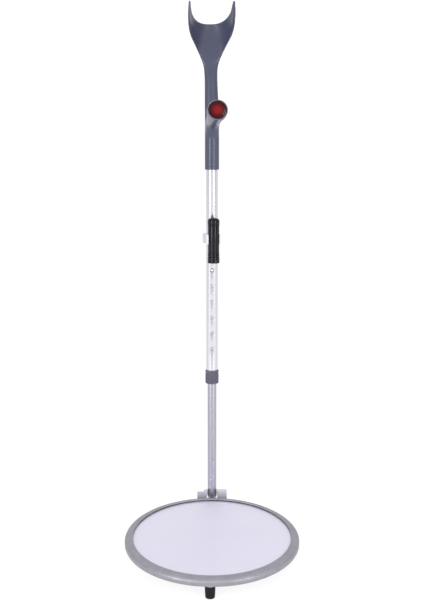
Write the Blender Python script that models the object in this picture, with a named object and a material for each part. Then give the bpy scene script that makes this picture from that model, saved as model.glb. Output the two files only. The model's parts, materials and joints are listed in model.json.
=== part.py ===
"""Under-vehicle search mirror: a round convex mirror on four rubber feet, a telescopic pole
hinged behind it, a crutch handle with a forearm cuff, and a torch clipped to the pole.

Lengths are in metres. Z is up, the user stands on the +Y side, and X is to the right.
The pole's pieces are modelled in the frame of an empty on the hinge: its Z runs up the pole.
"""

import math

import bmesh
import bpy
from mathutils import Matrix, Vector

# Clearances
GAP = 0.0003            # between touching pieces
SLIDE_GAP = 0.0004      # between the two pole tubes
HOLE_GAP = 0.0003       # round a screw, rivet or pin
CUT_PAST = 0.002        # a cutter runs this far past what it cuts
CUT_REACH = 0.030       # half the length of a cutter that goes right through

# Mirror head
RIM_RADIUS = 0.1643
LIP_WIDTH = 0.0155             # the rest, inside the lip, is visible mirror
LIP_HEIGHT = 0.0440         # the lip's inner edge above the floor
LIP_DROP = 0.0080           # the lip rounds down this far to the outer wall
RIM_WALL_HEIGHT = 0.0068
SHEET = 0.0015
MIRROR_THICKNESS = 0.003
MIRROR_OVERLAP = 0.0088     # the mirror's edge runs this far under the lip
MIRROR_RECESS = 0.0034      # mirror surface below the lip, at the lip's inner edge
MIRROR_SAG = 0.006          # how far the convex middle stands above that edge
PAN_WALL_GAP = 0.00064        # between the pan's wall and the lip above it
FOAM_INSET = 0.0140           # from the feet's circle in to the foam's edge
SEAL_INSET = 0.0010
SEAL_WIDTH = 0.0056

# Feet
FOOT_COUNT = 4
FOOT_INSET = 0.0163           # from the rim's wall in to the feet's circle
FOOT_TURN = math.radians(-1.3)
FOOT_TOP_RADIUS = 0.0098
FOOT_SOLE_RADIUS = 0.0088
FOOT_SOLE_CORNER = 0.0015
FOOT_PLATE_RADIUS = 0.0132
FOOT_PLATE_THICKNESS = 0.002
FOOT_SCREW_RADIUS = 0.0025
FOOT_SCREW_HEAD_RADIUS = 0.0045
FOOT_SCREW_HEAD_HEIGHT = 0.003
FOOT_COUNTERBORE_DEPTH = 0.015
NUT_ACROSS_FLATS = 0.008
NUT_HEIGHT = 0.004

# Hinge behind the mirror
PIVOT_BEHIND_RIM = 0.0158
BRACKET_SHEET = 0.002
BRACKET_WIDTH = 0.0195
BRACKET_RISE = {"left": 0.0094, "right": 0.0143}    # flange top above the lip
EAR_RADIUS = 0.0075
RIVET_RADIUS = 0.0016
RIVET_HEAD_RADIUS = 0.0030
RIVET_HEAD_HEIGHT = 0.0016
RIVET_OFFSETS = (0.0055, 0.0145)    # along the flange from the ear's inner face
RIVET_HEIGHT = 0.0050               # above the pan's underside
RIVET_CUT_IN = 0.012
RIVET_CUT_OUT = 0.003
BOLT_RADIUS = 0.003
BOLT_HEAD_ACROSS_FLATS = 0.010
BOLT_HEAD_HEIGHT = 0.004
BOLT_TAIL = 0.0025
SIDE_WASHER_THICKNESS = 0.0007
SIDE_WASHER_RADIUS = 0.0062
NUT_WASHER_THICKNESS = 0.0012
NUT_WASHER_RADIUS = 0.006
WING_NUT_RADIUS = 0.005
WING_NUT_HEIGHT = 0.0065
WING_SPAN = 0.0118
WING_HEIGHT = 0.0105
WING_THICKNESS = 0.0022
WING_BASE = 0.001

# Pole; heights on it are measured up its axis from the pivot
POLE_LEAN = math.radians(9.19)
LOWER_TUBE_RADIUS = 0.0088
TUBE_WALL = 0.0018
LOWER_TUBE_TAIL = 0.010
BUTTON_HEIGHT = 0.4527
LOWER_TUBE_PAST_BUTTON = 0.040
END_PLUG_LENGTH = 0.028
GLIDE_LENGTH = 0.012
GLIDE_RIM = 0.002
HOLE_PITCH = 0.0312
HOLES_ABOVE = 1
HOLES_BELOW = 5
BUTTON_RADIUS = 0.0037
BUTTON_PROUD = 0.0018
BUTTON_FLANGE_RADIUS = 0.0044
BUTTON_FLANGE = 0.0012
SPRING_STRIP = 0.0005
SPRING_WIDTH = 0.005
SPRING_LENGTH = 0.036
COLLAR_BASE = 0.2251
COLLAR_HEIGHT = 0.0269
COLLAR_WALL = 0.0020
COLLAR_LIP = 0.0015
COLLAR_TOP_CORNER = 0.0006
COLLAR_BASE_CORNER = 0.0022
BUSH_HEIGHT = 0.0088

# Handle
HANDLE_TURN = math.radians(5.2)
SLEEVE_BASE = 0.6488
SLEEVE_WALL = 0.0028
TUBE_IN_HANDLE = 0.086
PIN_RADIUS = 0.002
PIN_HEIGHT = 0.019
GRIP_ABOVE_SLEEVE = 0.0882
SLEEVE_ROUND_FROM = -0.020    # the sleeve stays round between these, about the grip's axis
SLEEVE_ROUND_TO = 0.004
GRIP_RISE = math.radians(13.0)
GRIP_LENGTH = 0.1145
GRIP_NECK_RADIUS = 0.0130
GRIP_PALM_RADIUS = 0.0152
GRIP_END_RADIUS = 0.0192
GRIP_BORE_RADIUS = 0.0120
GRIP_BORE_DEPTH = 0.020
ELBOW_RADIUS = 0.0134       # web under the grip, a bent bar
ELBOW_BEND = 0.0430         # at its centre line
BEZEL_WALL = 0.0018
BEZEL_DEPTH = 0.0040
BEZEL_BASE = 0.0011
BEZEL_PLUG = 0.011
LENS_EDGE = 0.0012
LENS_CROWN = 0.0009
STEM_ABOVE_GRIP = 0.0530
STEM_FOOT_BELOW = 0.022       # below and above the stem's middle
FLARE_ABOVE = 0.034
STEM_FOOT_HALF_WIDTH = 0.0137
STEM_HALF_WIDTH = 0.0126
STEM_HALF_DEPTH = 0.0098
STEM_LEAN = math.radians(15.0)
CUFF_ABOVE_STEM = 0.1390    # middle of the cuff's upper edge
CUFF_BACK = 0.0560
CUFF_HALF_WIDTH = 0.0455
CUFF_DEPTH = 0.0600         # from the back of the cuff to the arm tips
CUFF_WALL = 0.0042
CUFF_TIP_RISE = 0.0405
CUFF_TIP_BOOST = 0.22       # share of the rise that the arm tips gain in their last degrees
CUFF_TIP_START = math.radians(68)
CUFF_TIP_END = math.radians(80)

# Torch and its clip
TORCH_TURN = math.radians(7.0)
TORCH_STANDOFF = 0.0033     # between the pole and the torch's barrel
TORCH_BASE = 0.4690
TORCH_RADIUS = 0.0112
TORCH_HEAD_STEP = 0.0005    # the head and tail stand out from the barrel
TORCH_BORE_RADIUS = 0.0078
TAIL_BORE_STEP = 0.0017
LENS_RING_HEIGHT = 0.0038
LENS_RING_LIP = 0.0011
LENS_RING_CHAMFER = 0.0005
LENS_RING_STEP = 0.0001
LENS_THICKNESS = 0.0012
CONE_THROAT_RADIUS = 0.0032
CONE_WALL = 0.0006
CONE_RIM = 0.0010
BOARD_THICKNESS = 0.0016
LED_CLEARANCE = 0.0006
LED_HEIGHT = 0.0022
LED_SHOULDER = 0.0006
HEAD_HEIGHT = 0.0160
HEAD_BORE_RADIUS = 0.0102
HEAD_GROOVE = 0.0007
HEAD_GROOVE_SHARES = (0.52, 0.80)
BARREL_HEIGHT = 0.0520
NECK_HEIGHT = 0.0025
TAIL_NECK_HEIGHT = 0.0037
O_RING_OFFSET = 0.0008
O_RING_SEAT_HEIGHT = 0.0016
O_RING_SEAT_DEPTH = 0.0006
O_RING_WIRE = 0.0004
TAIL_HEIGHT = 0.0147
TAIL_ROOF = 0.0047
TAIL_SHOULDER = 0.0045
TORCH_BUTTON_RADIUS = 0.0050
TORCH_BUTTON_FLANGE = 0.0009
TORCH_BUTTON_TRAVEL = 0.0015
TORCH_BUTTON_FLANGE_WIDTH = 0.0015
TORCH_BUTTON_DOME = 0.0012
SWITCH_HEIGHT = 0.0022
TAIL_SPRING_RADIUS = 0.0045
TAIL_SPRING_WIRE = 0.00035
TAIL_SPRING_TURNS = 2.5
CELL_RADIUS = 0.0071
CELL_LENGTH = 0.0500
CELL_FLOAT = 0.0005
CELL_CAP = 0.0012
CLIP_BASE = 0.5057
CLIP_HEIGHT = 0.0190
CLIP_WALL = 0.0020
CLIP_OPENING = math.radians(65.0)   # half angle of the mouth for the torch
LUG_LENGTH = 0.0052          # out from the clamp
LUG_HALF_DEPTH = 0.0045
LUG_SLOT = 0.0018
LIP_BEAD_RADIUS = 0.0018
CLIP_SCREW_RADIUS = 0.0013
CLIP_SCREW_HEAD_RADIUS = 0.0026
CLIP_SCREW_HEAD_HEIGHT = 0.0016
CLIP_SCREW_TIP = 0.001

# Segments round each kind of turned piece
FINE = 64
MIDDLE = 28
SMALL = 16
TINY = 10

# Worked out from the above
VIEW_RADIUS = RIM_RADIUS - LIP_WIDTH
FOOT_CIRCLE = RIM_RADIUS - FOOT_INSET
FOAM_RADIUS = FOOT_CIRCLE - FOAM_INSET
RIM_BASE = LIP_HEIGHT - LIP_DROP - RIM_WALL_HEIGHT
PIVOT = Vector((0.0, RIM_RADIUS + PIVOT_BEHIND_RIM, LIP_HEIGHT))
UPPER_TUBE_RADIUS = LOWER_TUBE_RADIUS + SLIDE_GAP + TUBE_WALL
COLLAR_BORE = UPPER_TUBE_RADIUS + GAP
COLLAR_RADIUS = COLLAR_BORE + COLLAR_WALL
SLEEVE_RADIUS = UPPER_TUBE_RADIUS + GAP + SLEEVE_WALL
GRIP_HEIGHT = SLEEVE_BASE + GRIP_ABOVE_SLEEVE
STEM_HEIGHT = GRIP_HEIGHT + STEM_ABOVE_GRIP
CUFF_HEIGHT = STEM_HEIGHT + CUFF_ABOVE_STEM
TORCH_OFFSET = UPPER_TUBE_RADIUS + TORCH_STANDOFF + TORCH_RADIUS    # torch axis in front of the pole's
TORCH_HEAD_RADIUS = TORCH_RADIUS + TORCH_HEAD_STEP
UPPER_TUBE_BASE = COLLAR_BASE + COLLAR_LIP + BUSH_HEIGHT + 2 * GAP
UPPER_TUBE_TOP = SLEEVE_BASE + TUBE_IN_HANDLE
LOWER_TUBE_TOP = BUTTON_HEIGHT + LOWER_TUBE_PAST_BUTTON
EAR_FACE = LOWER_TUBE_RADIUS + SIDE_WASHER_THICKNESS + 2 * GAP
FLANGE_FACE = RIM_RADIUS + GAP
LUG_REACH = UPPER_TUBE_RADIUS + GAP + CLIP_WALL + LUG_LENGTH
HEAD_BASE = TORCH_BASE + LENS_RING_HEIGHT + GAP
BARREL_BASE = HEAD_BASE + HEAD_HEIGHT + GAP
TAIL_BASE = BARREL_BASE + BARREL_HEIGHT + GAP
TAIL_TOP = TAIL_BASE + TAIL_HEIGHT
TAIL_BORE_RADIUS = TORCH_BORE_RADIUS + TAIL_BORE_STEP


# ---------------------------------------------------------------- materials

FINISHES = {
    "rim_steel": ((0.42, 0.41, 0.43), 0.35, 1.0),
    "mirror": ((0.86, 0.86, 0.90), 0.03, 1.0),
    "pan_steel": ((0.32, 0.32, 0.34), 0.50, 1.0),
    "foam": ((0.05, 0.05, 0.05), 0.95, 0.0),
    "rubber": ((0.025, 0.025, 0.030), 0.80, 0.0),
    "zinc": ((0.62, 0.62, 0.64), 0.35, 1.0),
    "bracket": ((0.60, 0.59, 0.64), 0.40, 1.0),
    "tube": ((0.80, 0.80, 0.82), 0.22, 1.0),
    "nylon": ((0.75, 0.75, 0.72), 0.55, 0.0),
    "spring_steel": ((0.45, 0.45, 0.47), 0.35, 1.0),
    "collar": ((0.15, 0.14, 0.18), 0.55, 0.0),
    "handle": ((0.11, 0.115, 0.17), 0.45, 0.0),
    "reflector_red": ((0.28, 0.01, 0.015), 0.20, 0.0),
    "clip_white": ((0.85, 0.85, 0.88), 0.40, 0.0),
    "torch_black": ((0.012, 0.012, 0.016), 0.25, 0.6),
    "torch_clear": ((0.90, 0.92, 0.94), 0.05, 0.0),
    "reflector_chrome": ((0.85, 0.85, 0.86), 0.08, 1.0),
    "board_green": ((0.03, 0.20, 0.08), 0.50, 0.0),
    "led_yellow": ((0.85, 0.75, 0.20), 0.30, 0.0),
    "cell_wrap": ((0.10, 0.25, 0.45), 0.35, 0.0),
}


def finish(name):
    """The named material, made the first time it is asked for."""
    if name in bpy.data.materials:
        return bpy.data.materials[name]
    colour, roughness, metallic = FINISHES[name]
    made = bpy.data.materials.new(name)
    made.use_nodes = True
    shader = made.node_tree.nodes["Principled BSDF"]
    shader.inputs["Base Color"].default_value = (*colour, 1.0)
    shader.inputs["Roughness"].default_value = roughness
    shader.inputs["Metallic"].default_value = metallic
    made.diffuse_color = (*colour, 1.0)
    return made


# ---------------------------------------------------------------- shape helpers

def placed(name, shape, parent, slot=None, matrix=None):
    """Makes an object from a bmesh, in its parent's frame, and shades it smooth but for its corners."""
    bmesh.ops.recalc_face_normals(shape, faces=shape.faces)
    mesh = bpy.data.meshes.new(name)
    shape.to_mesh(mesh)
    shape.free()
    mesh.shade_smooth()
    mesh.set_sharp_from_angle(angle=math.radians(35))
    made = bpy.data.objects.new(name, mesh)
    bpy.context.scene.collection.objects.link(made)
    made.parent = parent
    made.matrix_basis = matrix or Matrix()
    if slot:
        mesh.materials.append(finish(slot))
    return made


def empty(name, parent, location=(0, 0, 0), rotation=(0, 0, 0)):
    """A bare frame for the pieces that move together."""
    made = bpy.data.objects.new(name, None)
    bpy.context.scene.collection.objects.link(made)
    made.parent = parent
    made.location = location
    made.rotation_euler = rotation
    return made


def turned(profile, segments):
    """A bmesh turned about Z from a closed profile of (radius, height) points."""
    shape = bmesh.new()
    rings = []
    for radius, height in profile:
        if radius <= 0:
            rings.append([shape.verts.new((0, 0, height))])
            continue
        angles = (math.tau * k / segments for k in range(segments))
        rings.append([shape.verts.new((radius * math.cos(a), radius * math.sin(a), height)) for a in angles])
    for first, second in zip(rings, rings[1:] + rings[:1]):
        if len(first) == 1 and len(second) == 1:
            continue
        for k in range(segments):
            nxt = (k + 1) % segments
            near = [first[k % len(first)], first[nxt % len(first)]]
            far = [second[nxt % len(second)], second[k % len(second)]]
            shape.faces.new(list(dict.fromkeys(near + far)))
    return shape


def pipe(inner, outer, base, top, segments):
    """A plain tube, ring or washer."""
    return turned([(inner, base), (outer, base), (outer, top), (inner, top)], segments)


def rod(radius, base, top, segments):
    """A plain round bar."""
    return turned([(0, base), (radius, base), (radius, top), (0, top)], segments)


def slab(outline, base, top):
    """A flat outline of (x, y) points, extruded from one height to another."""
    shape = bmesh.new()
    lower = [shape.verts.new((x, y, base)) for x, y in outline]
    upper = [shape.verts.new((x, y, top)) for x, y in outline]
    shape.faces.new(lower[::-1])
    shape.faces.new(upper)
    for k in range(len(outline)):
        nxt = (k + 1) % len(outline)
        shape.faces.new((lower[k], lower[nxt], upper[nxt], upper[k]))
    return shape


def box(low, high):
    """A plain block between two corners."""
    outline = [(low[0], low[1]), (high[0], low[1]), (high[0], high[1]), (low[0], high[1])]
    return slab(outline, low[2], high[2])


def arc(centre, radius, start, end, steps):
    """Points along an arc, angles in degrees."""
    angles = (math.radians(start + (end - start) * k / steps) for k in range(steps + 1))
    return [(centre[0] + radius * math.cos(a), centre[1] + radius * math.sin(a)) for a in angles]


def moved(shape, matrix):
    """The same bmesh, put through a matrix."""
    bmesh.ops.transform(shape, matrix=matrix, verts=shape.verts)
    return shape


def together(shapes):
    """Separate bmeshes in one, for a cutter of several pieces."""
    whole = bmesh.new()
    for shape in shapes:
        mesh = bpy.data.meshes.new("part_of_cutter")
        bmesh.ops.recalc_face_normals(shape, faces=shape.faces)
        shape.to_mesh(mesh)
        shape.free()
        whole.from_mesh(mesh)
        bpy.data.meshes.remove(mesh)
    return whole


def combine(target, shape, operation):
    """Adds an exact Boolean to an object, with its hidden helper shape in the same frame."""
    helper = placed(f"{target.name}_{operation.lower()}_{len(target.modifiers)}", shape, target.parent)
    helper.matrix_basis = target.matrix_basis
    helper.hide_render = True
    helper.display_type = "WIRE"
    step = target.modifiers.new(operation.title(), "BOOLEAN")
    step.operation = operation
    step.object = helper
    step.solver = "EXACT"
    return target


def cut(target, *shapes):
    return combine(target, together(shapes), "DIFFERENCE")


def fuse(target, shape):
    return combine(target, shape, "UNION")


ALONG_X = Matrix.Rotation(math.radians(90), 4, "Y")      # turns Z onto +X
ALONG_Y = Matrix.Rotation(math.radians(-90), 4, "X")     # turns Z onto +Y
FORWARD = Matrix.Rotation(math.radians(90), 4, "X")      # turns Z onto -Y
UPRIGHT = ALONG_X @ Matrix.Rotation(math.radians(90), 4, "Z")    # an outline's x, y onto Y, Z


def shifted(x, y, z):
    return Matrix.Translation((x, y, z))


# ---------------------------------------------------------------- mirror head

def lip_curve(inset, steps):
    """The rounded lip, a quarter ellipse from its inner edge to the wall, moved in by the inset."""
    reach, drop = RIM_RADIUS - VIEW_RADIUS - inset, LIP_DROP - inset
    angles = (math.pi / 2 * k / steps for k in range(steps + 1))
    base = LIP_HEIGHT - LIP_DROP
    return [(VIEW_RADIUS + reach * math.sin(a), base + drop * math.cos(a)) for a in angles]


def lip_underside(radius):
    """Height of the lip's lower face at a radius."""
    share = (radius - VIEW_RADIUS) / (RIM_RADIUS - VIEW_RADIUS - SHEET)
    return LIP_HEIGHT - LIP_DROP + (LIP_DROP - SHEET) * math.sqrt(1 - share ** 2)


def mirror_top(radius):
    """Height of the convex mirror surface at a radius."""
    return LIP_HEIGHT - MIRROR_RECESS + MIRROR_SAG * (1 - (radius / VIEW_RADIUS) ** 2)


def rim_bezel(head):
    steps = 5
    profile = [(RIM_RADIUS - SHEET, RIM_BASE), (RIM_RADIUS, RIM_BASE)]
    profile += lip_curve(0, steps)[::-1] + lip_curve(SHEET, steps)
    ring = placed("rim_bezel", turned(profile, FINE), head, "rim_steel")
    return cut(ring, *rivet_holes())


def mirror_pan(head):
    outer = RIM_RADIUS - SHEET - GAP
    inner = outer - SHEET
    floor = RIM_BASE + SHEET
    top = lip_underside(outer) - PAN_WALL_GAP
    profile = [(0, RIM_BASE), (outer, RIM_BASE), (outer, top), (inner, top), (inner, floor), (0, floor)]
    pan = placed("mirror_pan", turned(profile, FINE), head, "pan_steel")
    hole = FOOT_SCREW_RADIUS + HOLE_GAP
    screw_holes = [moved(rod(hole, RIM_BASE - SHEET, floor + SHEET, TINY), shifted(*spot, 0))
                   for spot in foot_spots()]
    return cut(pan, *screw_holes, *rivet_holes())


def mirror_glass(head):
    edge = VIEW_RADIUS + MIRROR_OVERLAP
    steps = 4
    radii = [edge * k / steps for k in range(steps + 1)]
    upper = [(r, mirror_top(r)) for r in radii]
    lower = [(r, mirror_top(r) - MIRROR_THICKNESS) for r in reversed(radii)]
    placed("mirror_glass", turned(upper + lower, FINE), head, "mirror")


def mirror_seal(head):
    near = VIEW_RADIUS + SEAL_INSET
    far = near + SEAL_WIDTH
    profile = [(near, mirror_top(near) + GAP), (far, mirror_top(far) + GAP)]
    profile += [(far, lip_underside(far) - GAP), (near, lip_underside(near) - GAP)]
    placed("mirror_seal", turned(profile, FINE), head, "rubber")


def foam_pad(head):
    floor = RIM_BASE + SHEET + GAP
    steps = 3
    radii = [FOAM_RADIUS * k / steps for k in range(steps + 1)]
    top = [(r, mirror_top(r) - MIRROR_THICKNESS - GAP) for r in radii]
    placed("foam_pad", turned(top + [(FOAM_RADIUS, floor), (0, floor)], 48), head, "foam")


def foot_spots():
    """Where the feet are: the first at the front, the rest evenly round."""
    turns = (FOOT_TURN - math.pi / 2 + math.tau * k / FOOT_COUNT for k in range(FOOT_COUNT))
    return [(FOOT_CIRCLE * math.cos(a), FOOT_CIRCLE * math.sin(a)) for a in turns]


def hexagon(across_flats):
    radius = across_flats / math.sqrt(3)
    return [(radius * math.cos(math.tau * k / 6), radius * math.sin(math.tau * k / 6)) for k in range(6)]


def foot(head, name, spot):
    """A tapered rubber foot with its plate, its screw from below and the nut inside the pan."""
    at = shifted(*spot, 0)
    plate_base = RIM_BASE - GAP - FOOT_PLATE_THICKNESS
    top = plate_base - GAP
    hole = FOOT_SCREW_RADIUS + HOLE_GAP
    bore = FOOT_SCREW_HEAD_RADIUS + HOLE_GAP
    sole_arc = arc((FOOT_SOLE_RADIUS - FOOT_SOLE_CORNER, FOOT_SOLE_CORNER), FOOT_SOLE_CORNER, -90, 0, 3)
    profile = [(bore, 0)] + sole_arc + [(FOOT_TOP_RADIUS, top), (hole, top)]
    profile += [(hole, FOOT_COUNTERBORE_DEPTH), (bore, FOOT_COUNTERBORE_DEPTH)]
    placed(f"{name}_foot", turned(profile, SMALL), head, "rubber", at)
    plate = pipe(hole, FOOT_PLATE_RADIUS, plate_base, plate_base + FOOT_PLATE_THICKNESS, SMALL)
    placed(f"{name}_foot_plate", plate, head, "bracket", at)
    nut_base = RIM_BASE + SHEET + GAP
    head_top = FOOT_COUNTERBORE_DEPTH - GAP
    head_base = head_top - FOOT_SCREW_HEAD_HEIGHT
    nut_top = nut_base + NUT_HEIGHT
    profile = [(0, head_base), (FOOT_SCREW_HEAD_RADIUS, head_base), (FOOT_SCREW_HEAD_RADIUS, head_top)]
    profile += [(FOOT_SCREW_RADIUS, head_top), (FOOT_SCREW_RADIUS, nut_top), (0, nut_top)]
    placed(f"{name}_foot_screw", turned(profile, TINY), head, "zinc", at)
    nut = placed(f"{name}_foot_nut", slab(hexagon(NUT_ACROSS_FLATS), nut_base, nut_top), head, "zinc", at)
    cut(nut, rod(hole, nut_base - GAP, nut_top + GAP, TINY))


# ---------------------------------------------------------------- hinge

def rivet_places():
    """Name, x and side of each rivet through the rim and a bracket flange."""
    sides = (("left", -1), ("right", 1))
    return [(f"{side}_rivet_{k + 1}", sign * (EAR_FACE + offset))
            for side, sign in sides for k, offset in enumerate(RIVET_OFFSETS)]


def rivet_holes():
    """Cutters through the rim wall, the pan wall and the flanges, along Y."""
    near = FLANGE_FACE - RIVET_CUT_IN
    far = FLANGE_FACE + BRACKET_SHEET + RIVET_CUT_OUT
    return [moved(rod(RIVET_RADIUS + HOLE_GAP, near, far, TINY),
                  shifted(x, 0, RIM_BASE + RIVET_HEIGHT) @ ALONG_Y) for _, x in rivet_places()]


def rivets(head):
    """Domed rivets: the head is on the flange, the upset end is inside the pan."""
    pan_inner = RIM_RADIUS - 2 * SHEET - GAP
    outside = FLANGE_FACE + BRACKET_SHEET + GAP
    for name, x in rivet_places():
        inside = math.sqrt(pan_inner ** 2 - (abs(x) + RIVET_HEAD_RADIUS) ** 2) - GAP
        profile = [(0, inside - RIVET_HEAD_HEIGHT), (RIVET_HEAD_RADIUS, inside - RIVET_HEAD_HEIGHT)]
        profile += [(RIVET_HEAD_RADIUS, inside), (RIVET_RADIUS, inside), (RIVET_RADIUS, outside)]
        crown = outside + RIVET_HEAD_HEIGHT
        profile += [(RIVET_HEAD_RADIUS, outside), (RIVET_HEAD_RADIUS * 0.75, crown - RIVET_HEAD_HEIGHT * 0.3)]
        profile += [(0, crown)]
        placed(name, turned(profile, TINY), head, "zinc", shifted(x, 0, RIM_BASE + RIVET_HEIGHT) @ ALONG_Y)


def bracket(head, side, sign):
    """Angle bracket: a flange on the rim wall and an ear that carries the pivot bolt."""
    inner = sign * EAR_FACE
    outer = sign * (EAR_FACE + BRACKET_WIDTH)
    ear_outer = sign * (EAR_FACE + BRACKET_SHEET)
    top = LIP_HEIGHT + BRACKET_RISE[side]
    left, right = sorted((inner, outer))
    flange = box((left, FLANGE_FACE, RIM_BASE), (right, FLANGE_FACE + BRACKET_SHEET, top))
    made = placed(f"{side}_bracket", flange, head, "bracket")
    low, high = PIVOT.z - EAR_RADIUS, PIVOT.z + EAR_RADIUS
    outline = [(FLANGE_FACE + BRACKET_SHEET / 2, low)] + arc((PIVOT.y, PIVOT.z), EAR_RADIUS, -90, 90, 10)
    outline += [(FLANGE_FACE + BRACKET_SHEET / 2, high)]
    fuse(made, moved(slab(outline, min(inner, ear_outer), max(inner, ear_outer)), UPRIGHT))
    through = rod(BOLT_RADIUS + HOLE_GAP, -CUT_REACH, CUT_REACH, SMALL)
    bolt_hole = moved(through, Matrix.Translation(PIVOT) @ ALONG_X)
    cut(made, bolt_hole, *rivet_holes())


def pivot_hardware(pivot):
    """Bolt, side washers and nut washer on the hinge axis, in the pivot's frame."""
    ear_outside = EAR_FACE + BRACKET_SHEET
    washer_base = ear_outside + GAP
    nut_base = washer_base + NUT_WASHER_THICKNESS + GAP
    bolt_end = nut_base + WING_NUT_HEIGHT + BOLT_TAIL
    head_face = -(ear_outside + GAP)
    shank = rod(BOLT_RADIUS, head_face - BOLT_HEAD_HEIGHT / 2, bolt_end, SMALL)
    bolt = placed("pivot_bolt", shank, pivot, "zinc", ALONG_X)
    fuse(bolt, slab(hexagon(BOLT_HEAD_ACROSS_FLATS), head_face - BOLT_HEAD_HEIGHT, head_face))
    bore = BOLT_RADIUS + HOLE_GAP
    for side, sign in (("left", -1), ("right", 1)):
        near = LOWER_TUBE_RADIUS + GAP
        faces = sorted((sign * near, sign * (near + SIDE_WASHER_THICKNESS)))
        placed(f"{side}_side_washer", pipe(bore, SIDE_WASHER_RADIUS, *faces, SMALL), pivot, "nylon", ALONG_X)
    nut_washer = pipe(bore, NUT_WASHER_RADIUS, washer_base, washer_base + NUT_WASHER_THICKNESS, SMALL)
    placed("nut_washer", nut_washer, pivot, "zinc", ALONG_X)
    return nut_base


def wing_nut(pivot, base):
    """A wing nut: a conical hub and two rounded wings, bored for the bolt."""
    top = base + WING_NUT_HEIGHT
    hub = turned([(0, base), (WING_NUT_RADIUS, base), (WING_NUT_RADIUS * 0.8, top), (0, top)], SMALL)
    nut = placed("wing_nut", hub, pivot, "zinc", ALONG_X)
    middle = WING_SPAN - WING_HEIGHT * 0.35
    outline = [(side * WING_NUT_RADIUS * 0.7, base + WING_BASE) for side in (-1, 1)]
    for sign in (1, -1):
        wing = arc((sign * middle, base + WING_HEIGHT * 0.65), WING_HEIGHT * 0.35, -60, 120, 6)
        points = wing if sign > 0 else [(2 * sign * middle - x, y) for x, y in reversed(wing)]
        outline += points
    fuse(nut, moved(slab(outline, -WING_THICKNESS / 2, WING_THICKNESS / 2), UPRIGHT))
    cut(nut, rod(BOLT_RADIUS + HOLE_GAP, base - CUT_PAST, base + WING_HEIGHT + 2 * CUT_PAST, SMALL))


# ---------------------------------------------------------------- pole

def lower_tube(pole):
    inner = LOWER_TUBE_RADIUS - TUBE_WALL
    shape = pipe(inner, LOWER_TUBE_RADIUS, -LOWER_TUBE_TAIL, LOWER_TUBE_TOP, MIDDLE)
    tube = placed("lower_tube", shape, pole, "tube")
    across = moved(rod(BOLT_RADIUS + HOLE_GAP, -CUT_REACH, CUT_REACH, SMALL), ALONG_X)
    button = rod(BUTTON_RADIUS + HOLE_GAP, inner / 2, CUT_REACH, SMALL)
    button = moved(button, shifted(0, 0, BUTTON_HEIGHT) @ FORWARD)
    cut(tube, across, button)


def lower_end_plug(pole):
    radius = LOWER_TUBE_RADIUS - TUBE_WALL - GAP
    base = -LOWER_TUBE_TAIL + GAP
    plug = placed("lower_end_plug", rod(radius, base, base + END_PLUG_LENGTH, SMALL), pole, "nylon")
    cut(plug, moved(rod(BOLT_RADIUS + HOLE_GAP, -CUT_REACH, CUT_REACH, SMALL), ALONG_X))


def tube_glide(pole):
    """Plastic plug in the lower tube's top end, with a rim that rides in the upper tube."""
    plug = LOWER_TUBE_RADIUS - TUBE_WALL - GAP
    rim = LOWER_TUBE_TOP + GAP
    profile = [(0, rim - GLIDE_LENGTH), (plug, rim - GLIDE_LENGTH), (plug, rim), (LOWER_TUBE_RADIUS, rim)]
    profile += [(LOWER_TUBE_RADIUS, rim + GLIDE_RIM), (0, rim + GLIDE_RIM)]
    placed("tube_glide", turned(profile, MIDDLE), pole, "nylon")


def snap_button(pole):
    """Stepped button: the flange stays inside the lower tube, the dome stands proud of the upper."""
    inner = LOWER_TUBE_RADIUS - TUBE_WALL
    flange_top = math.sqrt(inner ** 2 - BUTTON_FLANGE_RADIUS ** 2) - GAP
    flange_base = flange_top - BUTTON_FLANGE
    tip = UPPER_TUBE_RADIUS + BUTTON_PROUD
    profile = [(0, flange_base), (BUTTON_FLANGE_RADIUS, flange_base), (BUTTON_FLANGE_RADIUS, flange_top)]
    profile += [(BUTTON_RADIUS, flange_top), (BUTTON_RADIUS, tip - BUTTON_PROUD * 0.6)]
    profile += [(BUTTON_RADIUS * 0.72, tip - BUTTON_PROUD * 0.15), (0, tip)]
    at = shifted(0, 0, BUTTON_HEIGHT) @ FORWARD
    placed("snap_button", turned(profile, SMALL), pole, "spring_steel", at)
    return flange_base


def button_spring(pole, flange_base):
    """V-shaped leaf spring between the button's flange and the tube's far wall."""
    inner = LOWER_TUBE_RADIUS - TUBE_WALL
    front = -(flange_base - GAP - SPRING_STRIP)
    back = math.sqrt(inner ** 2 - SPRING_WIDTH ** 2 / 4) - 2 * GAP - SPRING_STRIP
    top = BUTTON_HEIGHT + 2 * BUTTON_RADIUS
    bend = (back - front) / 4
    centre = (front + back) / 2
    low = top - SPRING_LENGTH
    path = [Vector((front, top)), Vector((front, low + 3 * bend))]
    path += [Vector(p) for p in arc((centre, low), bend, 200, 340, 7)]
    path += [Vector((back, low + 3 * bend)), Vector((back, top))]
    outline = []
    for side in (1, -1):
        run = []
        for k, point in enumerate(path):
            ahead = path[min(k + 1, len(path) - 1)] - path[max(k - 1, 0)]
            across = Vector((-ahead.y, ahead.x)).normalized() * side * SPRING_STRIP / 2
            run.append(tuple(point + across))
        outline += run if side > 0 else run[::-1]
    strip = moved(slab(outline, -SPRING_WIDTH / 2, SPRING_WIDTH / 2), UPRIGHT)
    placed("button_spring", strip, pole, "spring_steel")


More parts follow.
